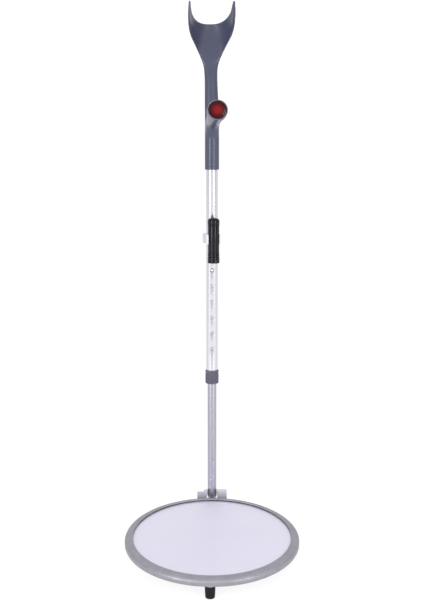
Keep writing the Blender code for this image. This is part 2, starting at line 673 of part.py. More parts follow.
def upper_tube(pole):
    inner = LOWER_TUBE_RADIUS + SLIDE_GAP
    shape = pipe(inner, UPPER_TUBE_RADIUS, UPPER_TUBE_BASE, UPPER_TUBE_TOP, MIDDLE)
    tube = placed("upper_tube", shape, pole, "tube")
    heights = [BUTTON_HEIGHT + HOLE_PITCH * k for k in range(-HOLES_BELOW, HOLES_ABOVE + 1)]
    holes = [moved(rod(BUTTON_RADIUS + HOLE_GAP, inner / 2, CUT_REACH, SMALL), shifted(0, 0, h) @ FORWARD)
             for h in heights]
    pin_hole = rod(PIN_RADIUS + HOLE_GAP, -CUT_REACH, CUT_REACH, TINY)
    turn = Matrix.Rotation(HANDLE_TURN, 4, "Z")
    holes.append(moved(pin_hole, turn @ shifted(0, 0, SLEEVE_BASE + PIN_HEIGHT) @ ALONG_X))
    cut(tube, *holes)


def collar(pole):
    """Collar on the upper tube's lower end, over a bush that steadies the lower tube."""
    top = COLLAR_BASE + COLLAR_HEIGHT
    lip_bore = LOWER_TUBE_RADIUS + GAP
    shelf = COLLAR_BASE + COLLAR_LIP
    corner = COLLAR_BASE_CORNER
    chamfer = COLLAR_TOP_CORNER
    profile = [(lip_bore, COLLAR_BASE)]
    profile += arc((COLLAR_RADIUS - corner, COLLAR_BASE + corner), corner, -90, 0, 3)
    profile += [(COLLAR_RADIUS, top - chamfer), (COLLAR_RADIUS - chamfer, top), (COLLAR_BORE, top)]
    profile += [(COLLAR_BORE, shelf), (lip_bore, shelf)]
    placed("collar", turned(profile, MIDDLE), pole, "collar")
    base = shelf + GAP
    bush = pipe(LOWER_TUBE_RADIUS + SLIDE_GAP, UPPER_TUBE_RADIUS, base, base + BUSH_HEIGHT, MIDDLE)
    placed("collar_bush", bush, pole, "nylon")


# ---------------------------------------------------------------- handle

ARC_POINTS = 17


def tip_share(angle):
    """How much of the tip rise a point of the cuff has, by its angle from the middle of the back."""
    turn = abs(angle)
    late = max(0.0, turn - CUFF_TIP_START) / (CUFF_TIP_END - CUFF_TIP_START)
    return min(1.0, (1 - math.cos(turn)) ** 1.3 + CUFF_TIP_BOOST * late)


def handle_station(height, half_width, back, depth, front, wall, rise):
    """One level of the handle: a back curve and a front curve, each a half ellipse.

    back is where the back curve stands, depth how far its ends come forward, front how far the
    front curve bows (negative bulges forward, positive hollows), rise how far the ends lift.
    """
    loops = []
    base = back - depth
    for width, bow, span in ((half_width, depth, math.pi / 2), (half_width - wall, front, CUFF_TIP_END)):
        loop = []
        for k in range(ARC_POINTS):
            angle = span * (2 * k / (ARC_POINTS - 1) - 1)
            lift = rise * tip_share(angle)
            loop.append((width * math.sin(angle), base + bow * math.cos(angle), height + lift))
        loops.append(loop)
    return loops


def stem_centre(height):
    """How far behind the pole axis the stem's centre line is."""
    return math.tan(STEM_LEAN) * max(0.0, height - GRIP_HEIGHT - SLEEVE_RADIUS / 2)


def handle_stations():
    r, w, d = SLEEVE_RADIUS, STEM_HALF_WIDTH, STEM_HALF_DEPTH
    round_levels = (SLEEVE_BASE, GRIP_HEIGHT + SLEEVE_ROUND_FROM, GRIP_HEIGHT + SLEEVE_ROUND_TO)
    stations = [(height, r, r, r, -r, 0, 0) for height in round_levels]
    flare_base = STEM_HEIGHT + FLARE_ABOVE
    stem_base = STEM_HEIGHT - STEM_FOOT_BELOW
    middle = (w + STEM_FOOT_HALF_WIDTH) / 2
    for height, half in ((stem_base, STEM_FOOT_HALF_WIDTH), (STEM_HEIGHT, middle), (flare_base, w)):
        stations.append((height, half, stem_centre(height) + d, d, -d, 0, 0))
    # up the flare: its share, the shares of cuff width and depth, the thickness, the share of tip rise
    flare = CUFF_HEIGHT - flare_base
    back_base = stem_centre(flare_base) + d
    for up, width, depth, thick, rise in (
        (0.22, 0.05, 0.02, 0.0155, 0.00), (0.39, 0.24, 0.08, 0.0140, 0.00),
        (0.57, 0.56, 0.25, 0.0100, 0.08), (0.70, 0.83, 0.48, 0.0062, 0.18),
        (0.80, 0.97, 0.68, 0.0048, 0.37), (0.90, 1.01, 0.84, CUFF_WALL, 0.70),
        (1.00, 0.97, 1.00, CUFF_WALL, 1.00),
    ):
        span = d + (CUFF_DEPTH - d) * depth
        back = back_base + (CUFF_BACK - back_base) * up
        half = w + (CUFF_HALF_WIDTH - w) * width
        wall = CUFF_WALL * min(1, depth * 2)
        stations.append((flare_base + flare * up, half, back, span, span - thick, wall, CUFF_TIP_RISE * rise))
    return stations


def handle_shell():
    """The handle from sleeve to cuff, as one closed skin through its levels."""
    shape = bmesh.new()
    levels = []
    for station in handle_stations():
        back, front = handle_station(*station)
        levels.append([[shape.verts.new(p) for p in back], [shape.verts.new(p) for p in front]])
    for (back_a, front_a), (back_b, front_b) in zip(levels, levels[1:]):
        for k in range(ARC_POINTS - 1):
            shape.faces.new((back_a[k], back_a[k + 1], back_b[k + 1], back_b[k]))
            shape.faces.new((front_a[k + 1], front_a[k], front_b[k], front_b[k + 1]))
        shape.faces.new((front_a[0], back_a[0], back_b[0], front_b[0]))
        shape.faces.new((back_a[-1], front_a[-1], front_b[-1], back_b[-1]))
    for back, front in (levels[0], levels[-1]):
        for k in range(ARC_POINTS - 1):
            shape.faces.new((back[k], front[k], front[k + 1], back[k + 1]))
    return shape


def grip_frame():
    """Puts Z along the grip, from the stem's middle out to its end."""
    return shifted(0, 0, GRIP_HEIGHT) @ Matrix.Rotation(math.radians(90) - GRIP_RISE, 4, "X")


def grip_shape():
    profile = [(0, 0), (GRIP_NECK_RADIUS, 0), (GRIP_NECK_RADIUS, GRIP_LENGTH * 0.15)]
    for share, swell in ((0.3, 0.55), (0.45, 0.95), (0.6, 1.0), (0.72, 0.85)):
        radius = GRIP_NECK_RADIUS + (GRIP_PALM_RADIUS - GRIP_NECK_RADIUS) * swell
        profile.append((radius, GRIP_LENGTH * share))
    for share, flare in ((0.79, 0.12), (0.83, 0.6), (0.86, 0.93), (0.9, 1.0), (1.0, 1.0)):
        radius = GRIP_PALM_RADIUS + (GRIP_END_RADIUS - GRIP_PALM_RADIUS) * flare
        profile.append((radius, GRIP_LENGTH * share))
    return turned(profile + [(0, GRIP_LENGTH)], MIDDLE)


def elbow_shape():
    """The web under the grip: a bar that bends from the sleeve's axis onto the grip's axis."""
    turn = math.radians(90) - GRIP_RISE
    tangent = ELBOW_BEND * math.tan(turn / 2)
    steps = 7
    shape = bmesh.new()
    rings = []
    for k in range(steps + 1):
        angle = turn * k / steps
        out = Vector((0, math.cos(angle), math.sin(angle)))
        centre = Vector((0, -ELBOW_BEND, GRIP_HEIGHT - tangent)) + ELBOW_BEND * out
        ring = []
        for n in range(MIDDLE):
            around = math.tau * n / MIDDLE
            offset = Vector((math.cos(around), 0, 0)) + out * math.sin(around)
            ring.append(shape.verts.new(centre + ELBOW_RADIUS * offset))
        rings.append(ring)
    for first, second in zip(rings, rings[1:]):
        for n in range(MIDDLE):
            nxt = (n + 1) % MIDDLE
            shape.faces.new((first[n], first[nxt], second[nxt], second[n]))
    shape.faces.new(rings[0][::-1])
    shape.faces.new(rings[-1])
    return shape


def handle(hand):
    """One moulding: sleeve over the tube, grip with its web, stem and forearm cuff."""
    body = placed("handle_body", handle_shell(), hand, "handle")
    fuse(body, moved(grip_shape(), grip_frame()))
    fuse(body, elbow_shape())
    tube_bore = rod(UPPER_TUBE_RADIUS + GAP, SLEEVE_BASE - CUT_PAST, UPPER_TUBE_TOP + GAP, MIDDLE)
    across = shifted(0, 0, SLEEVE_BASE + PIN_HEIGHT) @ ALONG_X
    pin_hole = moved(rod(PIN_RADIUS + HOLE_GAP, -CUT_REACH, CUT_REACH, TINY), across)
    grip_bore = rod(GRIP_BORE_RADIUS, GRIP_LENGTH - GRIP_BORE_DEPTH, GRIP_LENGTH + CUT_PAST, MIDDLE)
    cut(body, tube_bore)
    cut(body, pin_hole, moved(grip_bore, grip_frame()))
    pin_reach = SLEEVE_RADIUS - 2 * GAP
    placed("handle_pin", rod(PIN_RADIUS, -pin_reach, pin_reach, TINY), hand, "zinc", across)


def reflector(hand):
    """Red reflector in a bezel that plugs into the grip's end."""
    face = GRIP_LENGTH + GAP
    seat = face + BEZEL_BASE
    rim = face + BEZEL_DEPTH
    bore = GRIP_END_RADIUS - BEZEL_WALL
    plug = GRIP_BORE_RADIUS - GAP
    soft = BEZEL_WALL / 3
    profile = [(0, face - BEZEL_PLUG), (plug, face - BEZEL_PLUG), (plug, face), (GRIP_END_RADIUS, face)]
    profile += [(GRIP_END_RADIUS, rim - soft), (GRIP_END_RADIUS - soft, rim), (bore + soft, rim)]
    profile += [(bore, rim - soft), (bore, seat), (0, seat)]
    placed("reflector_bezel", turned(profile, MIDDLE), hand, "handle", grip_frame())
    lens = bore - GAP
    base = seat + GAP
    crown = base + LENS_EDGE + LENS_CROWN
    profile = [(0, base), (lens, base), (lens, base + LENS_EDGE), (lens * 0.9, crown - LENS_CROWN * 0.4)]
    profile += [(lens * 0.5, crown), (0, crown)]
    placed("reflector_lens", turned(profile, MIDDLE), hand, "reflector_red", grip_frame())


# ---------------------------------------------------------------- torch

def clip_outline():
    """Outline of the clip from above: a ring split at the lug, joined to a ring open to the front."""
    tube_bore, torch_bore = UPPER_TUBE_RADIUS + GAP, TORCH_RADIUS + GAP
    tube_out, torch_out = tube_bore + CLIP_WALL, torch_bore + CLIP_WALL
    torch = (0, -TORCH_OFFSET)
    meet_y = -(TORCH_OFFSET ** 2 + tube_out ** 2 - torch_out ** 2) / (2 * TORCH_OFFSET)
    meet = math.degrees(math.acos(-meet_y / tube_out))
    torch_meet = math.degrees(math.acos((TORCH_OFFSET + meet_y) / torch_out))
    lug = math.degrees(math.asin(LUG_HALF_DEPTH / tube_out))
    slit = math.degrees(math.asin(LUG_SLOT / 2 / tube_bore))
    mouth = 90 - math.degrees(CLIP_OPENING)
    bead = torch_bore + LIP_BEAD_RADIUS
    clear = math.degrees(LIP_BEAD_RADIUS / bead)
    edge = math.radians(mouth)
    left_bead = (torch[0] - bead * math.cos(edge), torch[1] - bead * math.sin(edge))
    right_bead = (-left_bead[0], left_bead[1])
    points = [(-LUG_REACH, -LUG_SLOT / 2), (-LUG_REACH, -LUG_HALF_DEPTH)]
    points += arc((0, 0), tube_out, 180 + lug, 270 - meet, 5)[:-1]
    points += arc(torch, torch_out, 90 + torch_meet, 180 + mouth - clear, 10)
    points += arc(left_bead, LIP_BEAD_RADIUS, 180 + mouth, 345 + mouth, 6)
    points += arc(torch, torch_bore, 180 + mouth - 2, 2 - mouth, 24)
    points += arc(right_bead, LIP_BEAD_RADIUS, 195 - mouth, 360 - mouth, 6)
    points += arc(torch, torch_out, clear - mouth, 90 - torch_meet, 10)[:-1]
    points += arc((0, 0), tube_out, meet - 90, 180 - lug, 24)
    points += [(-LUG_REACH, LUG_HALF_DEPTH), (-LUG_REACH, LUG_SLOT / 2)]
    points += arc((0, 0), tube_bore, 180 - slit, slit - 180, 30)
    return points


def torch_clip(clip):
    """Moulded clip: a split clamp round the pole, and an open ring that grips the torch."""
    top = CLIP_BASE + CLIP_HEIGHT
    ring = placed("torch_clip", slab(clip_outline(), CLIP_BASE, top), clip, "clip_white")
    screw_x = -(UPPER_TUBE_RADIUS + GAP + CLIP_WALL + LUG_REACH) / 2
    middle = shifted(screw_x, 0, (CLIP_BASE + top) / 2)
    tip = -LUG_HALF_DEPTH + CLIP_SCREW_TIP
    cut(ring, moved(rod(CLIP_SCREW_RADIUS + HOLE_GAP, tip, 2 * LUG_HALF_DEPTH, TINY), middle @ ALONG_Y))
    head = LUG_HALF_DEPTH + GAP
    profile = [(0, tip + GAP), (CLIP_SCREW_RADIUS, tip + GAP), (CLIP_SCREW_RADIUS, head)]
    profile += [(CLIP_SCREW_HEAD_RADIUS, head), (CLIP_SCREW_HEAD_RADIUS, head + CLIP_SCREW_HEAD_HEIGHT * 0.5)]
    profile += [(0, head + CLIP_SCREW_HEAD_HEIGHT)]
    placed("clip_screw", turned(profile, TINY), clip, "zinc", middle @ ALONG_Y)


def torch_light(torch):
    """Lens ring, lens, reflector cone, board and emitter, at the torch's lower end."""
    top = TORCH_BASE + LENS_RING_HEIGHT
    ledge = TORCH_BASE + LENS_RING_LIP
    bore = HEAD_BORE_RADIUS - LENS_RING_STEP
    opening = bore - LENS_RING_LIP
    r = TORCH_HEAD_RADIUS
    profile = [(opening, TORCH_BASE), (r - LENS_RING_CHAMFER, TORCH_BASE)]
    profile += [(r, TORCH_BASE + LENS_RING_CHAMFER), (r, top), (bore, top), (bore, ledge), (opening, ledge)]
    placed("torch_lens_ring", turned(profile, MIDDLE), torch, "torch_black")
    lens_base = ledge + GAP
    lens_top = lens_base + LENS_THICKNESS
    fit = bore - GAP
    placed("torch_lens", rod(fit, lens_base, lens_top, MIDDLE), torch, "torch_clear")
    board_top = BARREL_BASE - NECK_HEIGHT - GAP
    board_base = board_top - BOARD_THICKNESS
    throat, wall = CONE_THROAT_RADIUS, CONE_WALL
    low, high = lens_top + GAP, board_base - GAP
    profile = [(fit - wall, low), (fit, low), (fit, low + CONE_RIM), (throat + wall, high), (throat, high)]
    placed("torch_reflector", turned(profile, SMALL), torch, "reflector_chrome")
    placed("torch_led_board", rod(fit, board_base, board_top, SMALL), torch, "board_green")
    led = throat - GAP - LED_CLEARANCE
    emitter = board_base - GAP
    profile = [(0, emitter - LED_HEIGHT), (led * 0.7, emitter - LED_HEIGHT + LED_SHOULDER)]
    profile += [(led, emitter - LED_SHOULDER), (led, emitter), (0, emitter)]
    placed("torch_led", turned(profile, TINY), torch, "led_yellow")


def torch_casing(torch):
    """Head, barrel with its two necks, and the tail cap with rounded shoulders."""
    r = TORCH_HEAD_RADIUS
    top = HEAD_BASE + HEAD_HEIGHT
    groove = HEAD_GROOVE
    profile = [(HEAD_BORE_RADIUS, HEAD_BASE), (r, HEAD_BASE)]
    for share in HEAD_GROOVE_SHARES:
        at = HEAD_BASE + HEAD_HEIGHT * share
        profile += [(r, at - groove), (r - groove, at - groove / 2)]
        profile += [(r - groove, at + groove / 2), (r, at + groove)]
    profile += [(r, top - groove), (TORCH_RADIUS, top), (HEAD_BORE_RADIUS, top)]
    placed("torch_head", turned(profile, MIDDLE), torch, "torch_black")

    barrel_top = BARREL_BASE + BARREL_HEIGHT
    head_neck = HEAD_BORE_RADIUS - GAP
    tail_neck = TAIL_BORE_RADIUS - 2 * GAP
    bore = TORCH_BORE_RADIUS
    neck_base = BARREL_BASE - NECK_HEIGHT
    ring_base = barrel_top + O_RING_OFFSET
    ring_top = ring_base + O_RING_SEAT_HEIGHT
    ring_seat = tail_neck - O_RING_SEAT_DEPTH
    profile = [(bore, neck_base), (head_neck, neck_base), (head_neck, BARREL_BASE)]
    profile += [(TORCH_RADIUS, BARREL_BASE), (TORCH_RADIUS, barrel_top)]
    profile += [(tail_neck, barrel_top), (tail_neck, ring_base)]
    profile += [(ring_seat, ring_base), (ring_seat, ring_top), (tail_neck, ring_top)]
    profile += [(tail_neck, barrel_top + TAIL_NECK_HEIGHT), (bore, barrel_top + TAIL_NECK_HEIGHT)]
    placed("torch_barrel", turned(profile, MIDDLE), torch, "torch_black")
    middle = (ring_seat + GAP / 2 + O_RING_WIRE, (ring_base + ring_top) / 2)
    section = arc(middle, O_RING_WIRE, 0, 300, 5)
    placed("torch_o_ring", turned(section, SMALL), torch, "rubber")

    shoulder = TAIL_SHOULDER
    rounding = [(r - shoulder * (1 - math.cos(a)), TAIL_TOP - shoulder * (1 - math.sin(a)))
                for a in (math.radians(18 * k) for k in range(6))]
    hole = TORCH_BUTTON_RADIUS + HOLE_GAP
    roof = TAIL_TOP - TAIL_ROOF
    profile = [(TAIL_BORE_RADIUS, TAIL_BASE), (r, TAIL_BASE)] + rounding
    profile += [(hole, TAIL_TOP), (hole, roof), (TAIL_BORE_RADIUS, roof)]
    placed("torch_tail_cap", turned(profile, MIDDLE), torch, "torch_black")


def coil(radius, wire, base, top, turns, steps):
    """A round wire wound into a helix, with flat ends."""
    shape = bmesh.new()
    sides = 5
    rings = []
    count = int(turns * steps)
    for k in range(count + 1):
        angle = math.tau * k / steps
        height = base + wire + (top - base - 2 * wire) * k / count
        out = Vector((math.cos(angle), math.sin(angle), 0))
        centre = out * radius + Vector((0, 0, height))
        ring = []
        for n in range(sides):
            turn = math.tau * n / sides
            offset = out * math.cos(turn) + Vector((0, 0, math.sin(turn)))
            ring.append(shape.verts.new(centre + offset * wire))
        rings.append(ring)
    for first, second in zip(rings, rings[1:]):
        for n in range(sides):
            nxt = (n + 1) % sides
            shape.faces.new((first[n], first[nxt], second[nxt], second[n]))
    shape.faces.new(rings[0][::-1])
    shape.faces.new(rings[-1])
    return shape


def torch_inside(torch):
    """Cell, tail spring and switch, and the rubber button they work with."""
    cell_base = BARREL_BASE + CELL_FLOAT
    cell_top = cell_base + CELL_LENGTH
    shoulder = cell_top - CELL_CAP
    cap = CELL_RADIUS * 0.4
    cell = [(0, cell_base), (CELL_RADIUS, cell_base), (CELL_RADIUS, shoulder), (cap, shoulder)]
    cell += [(cap, cell_top), (0, cell_top)]
    placed("torch_cell", turned(cell, SMALL), torch, "cell_wrap")
    flange_top = TAIL_TOP - TAIL_ROOF - GAP
    flange_base = flange_top - TORCH_BUTTON_FLANGE
    switch_top = flange_base - TORCH_BUTTON_TRAVEL - GAP
    switch_base = switch_top - SWITCH_HEIGHT
    placed("torch_switch", rod(TAIL_BORE_RADIUS - GAP, switch_base, switch_top, SMALL), torch, "nylon")
    low, high = cell_top + GAP, switch_base - GAP
    spring = coil(TAIL_SPRING_RADIUS, TAIL_SPRING_WIRE, low, high, TAIL_SPRING_TURNS, 12)
    placed("torch_tail_spring", spring, torch, "spring_steel")
    stem = TORCH_BUTTON_RADIUS
    flange = stem + TORCH_BUTTON_FLANGE_WIDTH
    top = TAIL_TOP - GAP
    dome = TORCH_BUTTON_DOME
    profile = [(0, flange_base), (flange, flange_base), (flange, flange_top), (stem, flange_top)]
    profile += [(stem, top - dome), (stem * 0.8, top - dome / 4), (0, top)]
    return turned(profile, SMALL)


# ---------------------------------------------------------------- assembly

def main():
    for old in list(bpy.data.objects):
        bpy.data.objects.remove(old, do_unlink=True)

    head = empty("mirror_head", None)
    rim_bezel(head)
    mirror_pan(head)
    mirror_glass(head)
    mirror_seal(head)
    foam_pad(head)
    for name, spot in zip(("front", "right", "rear", "left"), foot_spots()):
        foot(head, name, spot)
    rivets(head)
    bracket(head, "left", -1)
    bracket(head, "right", 1)

    pivot = empty("pole_pivot", head, PIVOT)
    wing_nut(pivot, pivot_hardware(pivot))

    pole = empty("pole_axis", pivot, rotation=(-POLE_LEAN, 0, 0))
    lower_tube(pole)
    lower_end_plug(pole)
    tube_glide(pole)
    button_spring(pole, snap_button(pole))
    upper_tube(pole)
    collar(pole)

    hand = empty("handle_axis", pole, rotation=(0, 0, HANDLE_TURN))
    handle(hand)
    reflector(hand)

    clip = empty("clip_axis", pole, rotation=(0, 0, TORCH_TURN))
    torch_clip(clip)
    torch = empty("torch_axis", clip, (0, -TORCH_OFFSET, 0))
    torch_light(torch)
    torch_casing(torch)
    placed("torch_button", torch_inside(torch), torch, "rubber")

    # the origin is on the floor, under the middle of the whole
    bpy.context.view_layer.update()
    depths = [(piece.matrix_world @ point.co).y for piece in bpy.data.objects
              if piece.type == "MESH" and not piece.hide_render for point in piece.data.vertices]
    head.location.y = -(min(depths) + max(depths)) / 2


main()
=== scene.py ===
"""Looks of the under-vehicle search mirror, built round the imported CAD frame.

Lengths are in metres. Pieces on the pole are made in the pole's own frame: Z runs up the pole
from the hinge, and -Y faces the mirror. Places and outer sizes come from the frame and its nodes,
and finer sizes are named here.
"""

import json
import math

import bmesh
import bpy
from mathutils import Matrix, Vector

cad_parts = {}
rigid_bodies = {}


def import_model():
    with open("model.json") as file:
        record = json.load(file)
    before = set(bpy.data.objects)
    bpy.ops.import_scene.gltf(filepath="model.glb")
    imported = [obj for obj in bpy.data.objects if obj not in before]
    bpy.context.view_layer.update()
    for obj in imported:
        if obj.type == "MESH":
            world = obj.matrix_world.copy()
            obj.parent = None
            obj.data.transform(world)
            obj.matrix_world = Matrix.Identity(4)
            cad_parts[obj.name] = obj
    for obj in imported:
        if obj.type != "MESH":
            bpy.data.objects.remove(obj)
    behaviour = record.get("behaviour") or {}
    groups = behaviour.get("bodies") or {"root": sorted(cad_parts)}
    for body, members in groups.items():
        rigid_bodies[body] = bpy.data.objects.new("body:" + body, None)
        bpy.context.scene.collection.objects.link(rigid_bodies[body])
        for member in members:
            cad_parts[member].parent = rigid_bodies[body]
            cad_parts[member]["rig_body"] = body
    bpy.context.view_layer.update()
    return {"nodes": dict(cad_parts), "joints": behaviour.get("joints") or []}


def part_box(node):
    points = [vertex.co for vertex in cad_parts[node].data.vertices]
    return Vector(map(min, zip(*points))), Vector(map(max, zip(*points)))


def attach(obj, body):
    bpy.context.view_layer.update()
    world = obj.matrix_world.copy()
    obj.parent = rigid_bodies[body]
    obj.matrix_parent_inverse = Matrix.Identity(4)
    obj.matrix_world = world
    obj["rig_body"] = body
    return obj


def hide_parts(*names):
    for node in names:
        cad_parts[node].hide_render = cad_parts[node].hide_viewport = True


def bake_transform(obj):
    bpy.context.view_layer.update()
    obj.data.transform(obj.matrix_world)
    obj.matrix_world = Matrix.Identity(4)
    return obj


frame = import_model()
JOINTS = {joint["name"]: joint for joint in frame["joints"]}

# ---------------------------------------------------------------- frames of reference

RIM_LOW, RIM_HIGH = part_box("rim_bezel")
MIRROR_CENTRE = Vector(((RIM_LOW.x + RIM_HIGH.x) / 2, (RIM_LOW.y + RIM_HIGH.y) / 2, 0))
RIM_RADIUS = (RIM_HIGH.x - RIM_LOW.x) / 2
LIP_HEIGHT = RIM_HIGH.z
PIVOT = Vector(JOINTS["pole_tilt"]["pos_m"])
POLE_UP = Vector(JOINTS["telescope"]["axis"]).normalized()

HANDLE_TURN = math.radians(5.2)
TORCH_TURN = math.radians(7.0)
TORCH_OFFSET = 0.0255


def frame_at(origin, up):
    """A frame whose Z is up and whose X stays across the mirror."""
    across = Vector((1, 0, 0))
    back = up.cross(across).normalized()
    return Matrix.Translation(origin) @ Matrix((across, back, up)).transposed().to_4x4()


HEAD = Matrix.Translation(MIRROR_CENTRE)
POLE = frame_at(PIVOT, POLE_UP)
HAND = POLE @ Matrix.Rotation(HANDLE_TURN, 4, "Z")
TORCH = POLE @ Matrix.Rotation(TORCH_TURN, 4, "Z") @ Matrix.Translation((0, -TORCH_OFFSET, 0))
GRIP_HEIGHT = 0.7370
GRIP_RISE = math.radians(13.0)
GRIP = HAND @ Matrix.Translation((0, 0, GRIP_HEIGHT)) @ Matrix.Rotation(math.radians(90) - GRIP_RISE, 4, "X")
ALONG_X = Matrix.Rotation(math.radians(90), 4, "Y")
ALONG_Y = Matrix.Rotation(math.radians(-90), 4, "X")
FORWARD = Matrix.Rotation(math.radians(90), 4, "X")


def extent(node, place):
    """Lowest and highest corner of a CAD node, in another frame."""
    back = place.inverted()
    points = [back @ vertex.co for vertex in frame["nodes"][node].data.vertices]
    low = Vector(min(p[k] for p in points) for k in range(3))
    high = Vector(max(p[k] for p in points) for k in range(3))
    return low, high


def ring_size(node, place):
    """Outer radius, lowest and highest place of a round CAD node on its own axis."""
    low, high = extent(node, place)
    return (high.x - low.x) / 2, low.z, high.z


# ---------------------------------------------------------------- materials

def new_material(name):
    made = bpy.data.materials.new(name)
    made.use_nodes = True
    tree = made.node_tree
    return made, tree, tree.nodes["Principled BSDF"]


def texture_space(tree, stretch=(1, 1, 1)):
    """Object coordinates, stretched along each axis."""
    place = tree.nodes.new("ShaderNodeTexCoord")
    mapping = tree.nodes.new("ShaderNodeMapping")
    mapping.inputs["Scale"].default_value = stretch
    tree.links.new(place.outputs["Object"], mapping.inputs["Vector"])
    return mapping.outputs["Vector"]


def noise_of(tree, space, scale, detail=3.0, rough=0.5):
    made = tree.nodes.new("ShaderNodeTexNoise")
    made.inputs["Scale"].default_value = scale
    made.inputs["Detail"].default_value = detail
    made.inputs["Roughness"].default_value = rough
    tree.links.new(space, made.inputs["Vector"])
    return made.outputs["Fac"]


def ramp(tree, value, stops):
    """A colour ramp over (position, colour) stops."""
    made = tree.nodes.new("ShaderNodeValToRGB")
    while len(made.color_ramp.elements) < len(stops):
        made.color_ramp.elements.new(0.5)
    for element, (position, colour) in zip(made.color_ramp.elements, stops):
        element.position = position
        element.color = (*colour, 1) if len(colour) == 3 else colour
    tree.links.new(value, made.inputs["Fac"])
    return made.outputs["Color"]


def spread(tree, value, low, high, near=0.3, far=0.7):
    """Maps a noise value onto a range."""
    made = tree.nodes.new("ShaderNodeMapRange")
    made.inputs["From Min"].default_value = near
    made.inputs["From Max"].default_value = far
    made.inputs["To Min"].default_value = low
    made.inputs["To Max"].default_value = high
    tree.links.new(value, made.inputs["Value"])
    return made.outputs["Result"]


def mixed(tree, factor, first, second, blend="MIX"):
    """Mixes two colours; each is a socket or an (r, g, b)."""
    made = tree.nodes.new("ShaderNodeMix")
    made.data_type = "RGBA"
    made.blend_type = blend
    for value, socket in ((factor, made.inputs[0]), (first, made.inputs[6]), (second, made.inputs[7])):
        if isinstance(value, bpy.types.NodeSocket):
            tree.links.new(value, socket)
        elif isinstance(value, (int, float)):
            socket.default_value = value
        else:
            socket.default_value = (*value, 1)
    return made.outputs[2]


def bumped(tree, shader, layers):
    """Stacks bumps of (height socket, strength, distance) on a shader."""
    normal = None
    for height, strength, distance in layers:
        made = tree.nodes.new("ShaderNodeBump")
        made.inputs["Strength"].default_value = strength
        made.inputs["Distance"].default_value = distance
        tree.links.new(height, made.inputs["Height"])
        if normal is not None:
            tree.links.new(normal, made.inputs["Normal"])
        normal = made.outputs["Normal"]
    tree.links.new(normal, shader.inputs["Normal"])


def combined(tree, operation, first, second, clamp=False):
    """One value worked out from two."""
    made = tree.nodes.new("ShaderNodeMath")
    made.operation = operation
    made.use_clamp = clamp
    tree.links.new(first, made.inputs[0])
    tree.links.new(second, made.inputs[1])
    return made.outputs[0]


def from_axis(tree):
    """A spot's distance from its piece's own Z axis."""
    flat = tree.nodes.new("ShaderNodeVectorMath")
    flat.operation = "MULTIPLY"
    flat.inputs[1].default_value = (1, 1, 0)
    tree.links.new(texture_space(tree), flat.inputs[0])
    reach = tree.nodes.new("ShaderNodeVectorMath")
    reach.operation = "LENGTH"
    tree.links.new(flat.outputs["Vector"], reach.inputs[0])
    return reach.outputs["Value"]


def edge_wear(tree, near, far):
    """How worn a spot is: high on sharp convex edges, broken up by noise."""
    geometry = tree.nodes.new("ShaderNodeNewGeometry")
    edge = spread(tree, geometry.outputs["Pointiness"], 0.0, 1.0, near, far)
    broken = spread(tree, noise_of(tree, texture_space(tree), 160, 4, 0.6), 0.0, 1.0, 0.42, 0.62)
    return combined(tree, "MULTIPLY", edge, broken, clamp=True)


def metal(name, colour, roughness, stretch, vary=0.06, streak=0.10, grain=0.15, rough_vary=0.08, edge=1.0):
    """Metal with drawn or brushed streaks along the least stretched axis, and faint handling marks."""
    made, tree, shader = new_material(name)
    shader.inputs["Metallic"].default_value = 1.0
    shader.inputs["Specular Tint"].default_value = (edge, edge, edge * 1.04, 1)
    streaks = noise_of(tree, texture_space(tree, stretch), 60, 4, 0.65)
    blotch = noise_of(tree, texture_space(tree), 22, 4, 0.55)
    dark = tuple(c * (1 - vary - streak) for c in colour)
    light = tuple(min(1.0, c * (1 + vary)) for c in colour)
    base = ramp(tree, streaks, ((0.30, dark), (0.55, colour), (0.80, light)))
    soil = spread(tree, blotch, 0.0, 0.35, 0.50, 0.85)
    tree.links.new(mixed(tree, soil, base, tuple(c * 0.86 for c in colour)), shader.inputs["Base Color"])
    low, high = roughness - rough_vary / 2, roughness + rough_vary
    tree.links.new(spread(tree, blotch, low, high), shader.inputs["Roughness"])
    fine = noise_of(tree, texture_space(tree), 900, 2)
    bumped(tree, shader, ((streaks, grain, 0.00015), (fine, grain / 3, 0.00005)))
    return made


def plastic(name, colour, roughness, grain_scale=700, grain=0.25, vary=0.10, specular=0.5, worn=None):
    """Moulded plastic: fine spark texture, slow colour drift, scuffs, and lighter worn edges."""
    made, tree, shader = new_material(name)
    space = texture_space(tree)
    drift = noise_of(tree, space, 14, 3, 0.5)
    dark = tuple(c * (1 - vary) for c in colour)
    light = tuple(min(1.0, c * (1 + vary)) for c in colour)
    base = ramp(tree, drift, ((0.32, dark), (0.52, colour), (0.74, light)))
    scratches = noise_of(tree, texture_space(tree, (1, 1, 0.25)), 240, 5, 0.7)
    scuff = spread(tree, scratches, 0.0, 0.22, 0.60, 0.82)
    lighter = tuple(min(1.0, c * 1.6 + 0.02) for c in colour)
    base = mixed(tree, scuff, base, lighter)
    if worn:
        base = mixed(tree, edge_wear(tree, 0.51, 0.56), base, worn)
    tree.links.new(base, shader.inputs["Base Color"])
    rough = spread(tree, noise_of(tree, space, 90, 4, 0.6), roughness - 0.05, roughness + 0.07)
    tree.links.new(rough, shader.inputs["Roughness"])
    shader.inputs["Specular IOR Level"].default_value = specular
    spark = noise_of(tree, space, grain_scale, 2, 0.5)
    bumped(tree, shader, ((spark, grain, 0.00008), (drift, 0.10, 0.0006)))
    return made


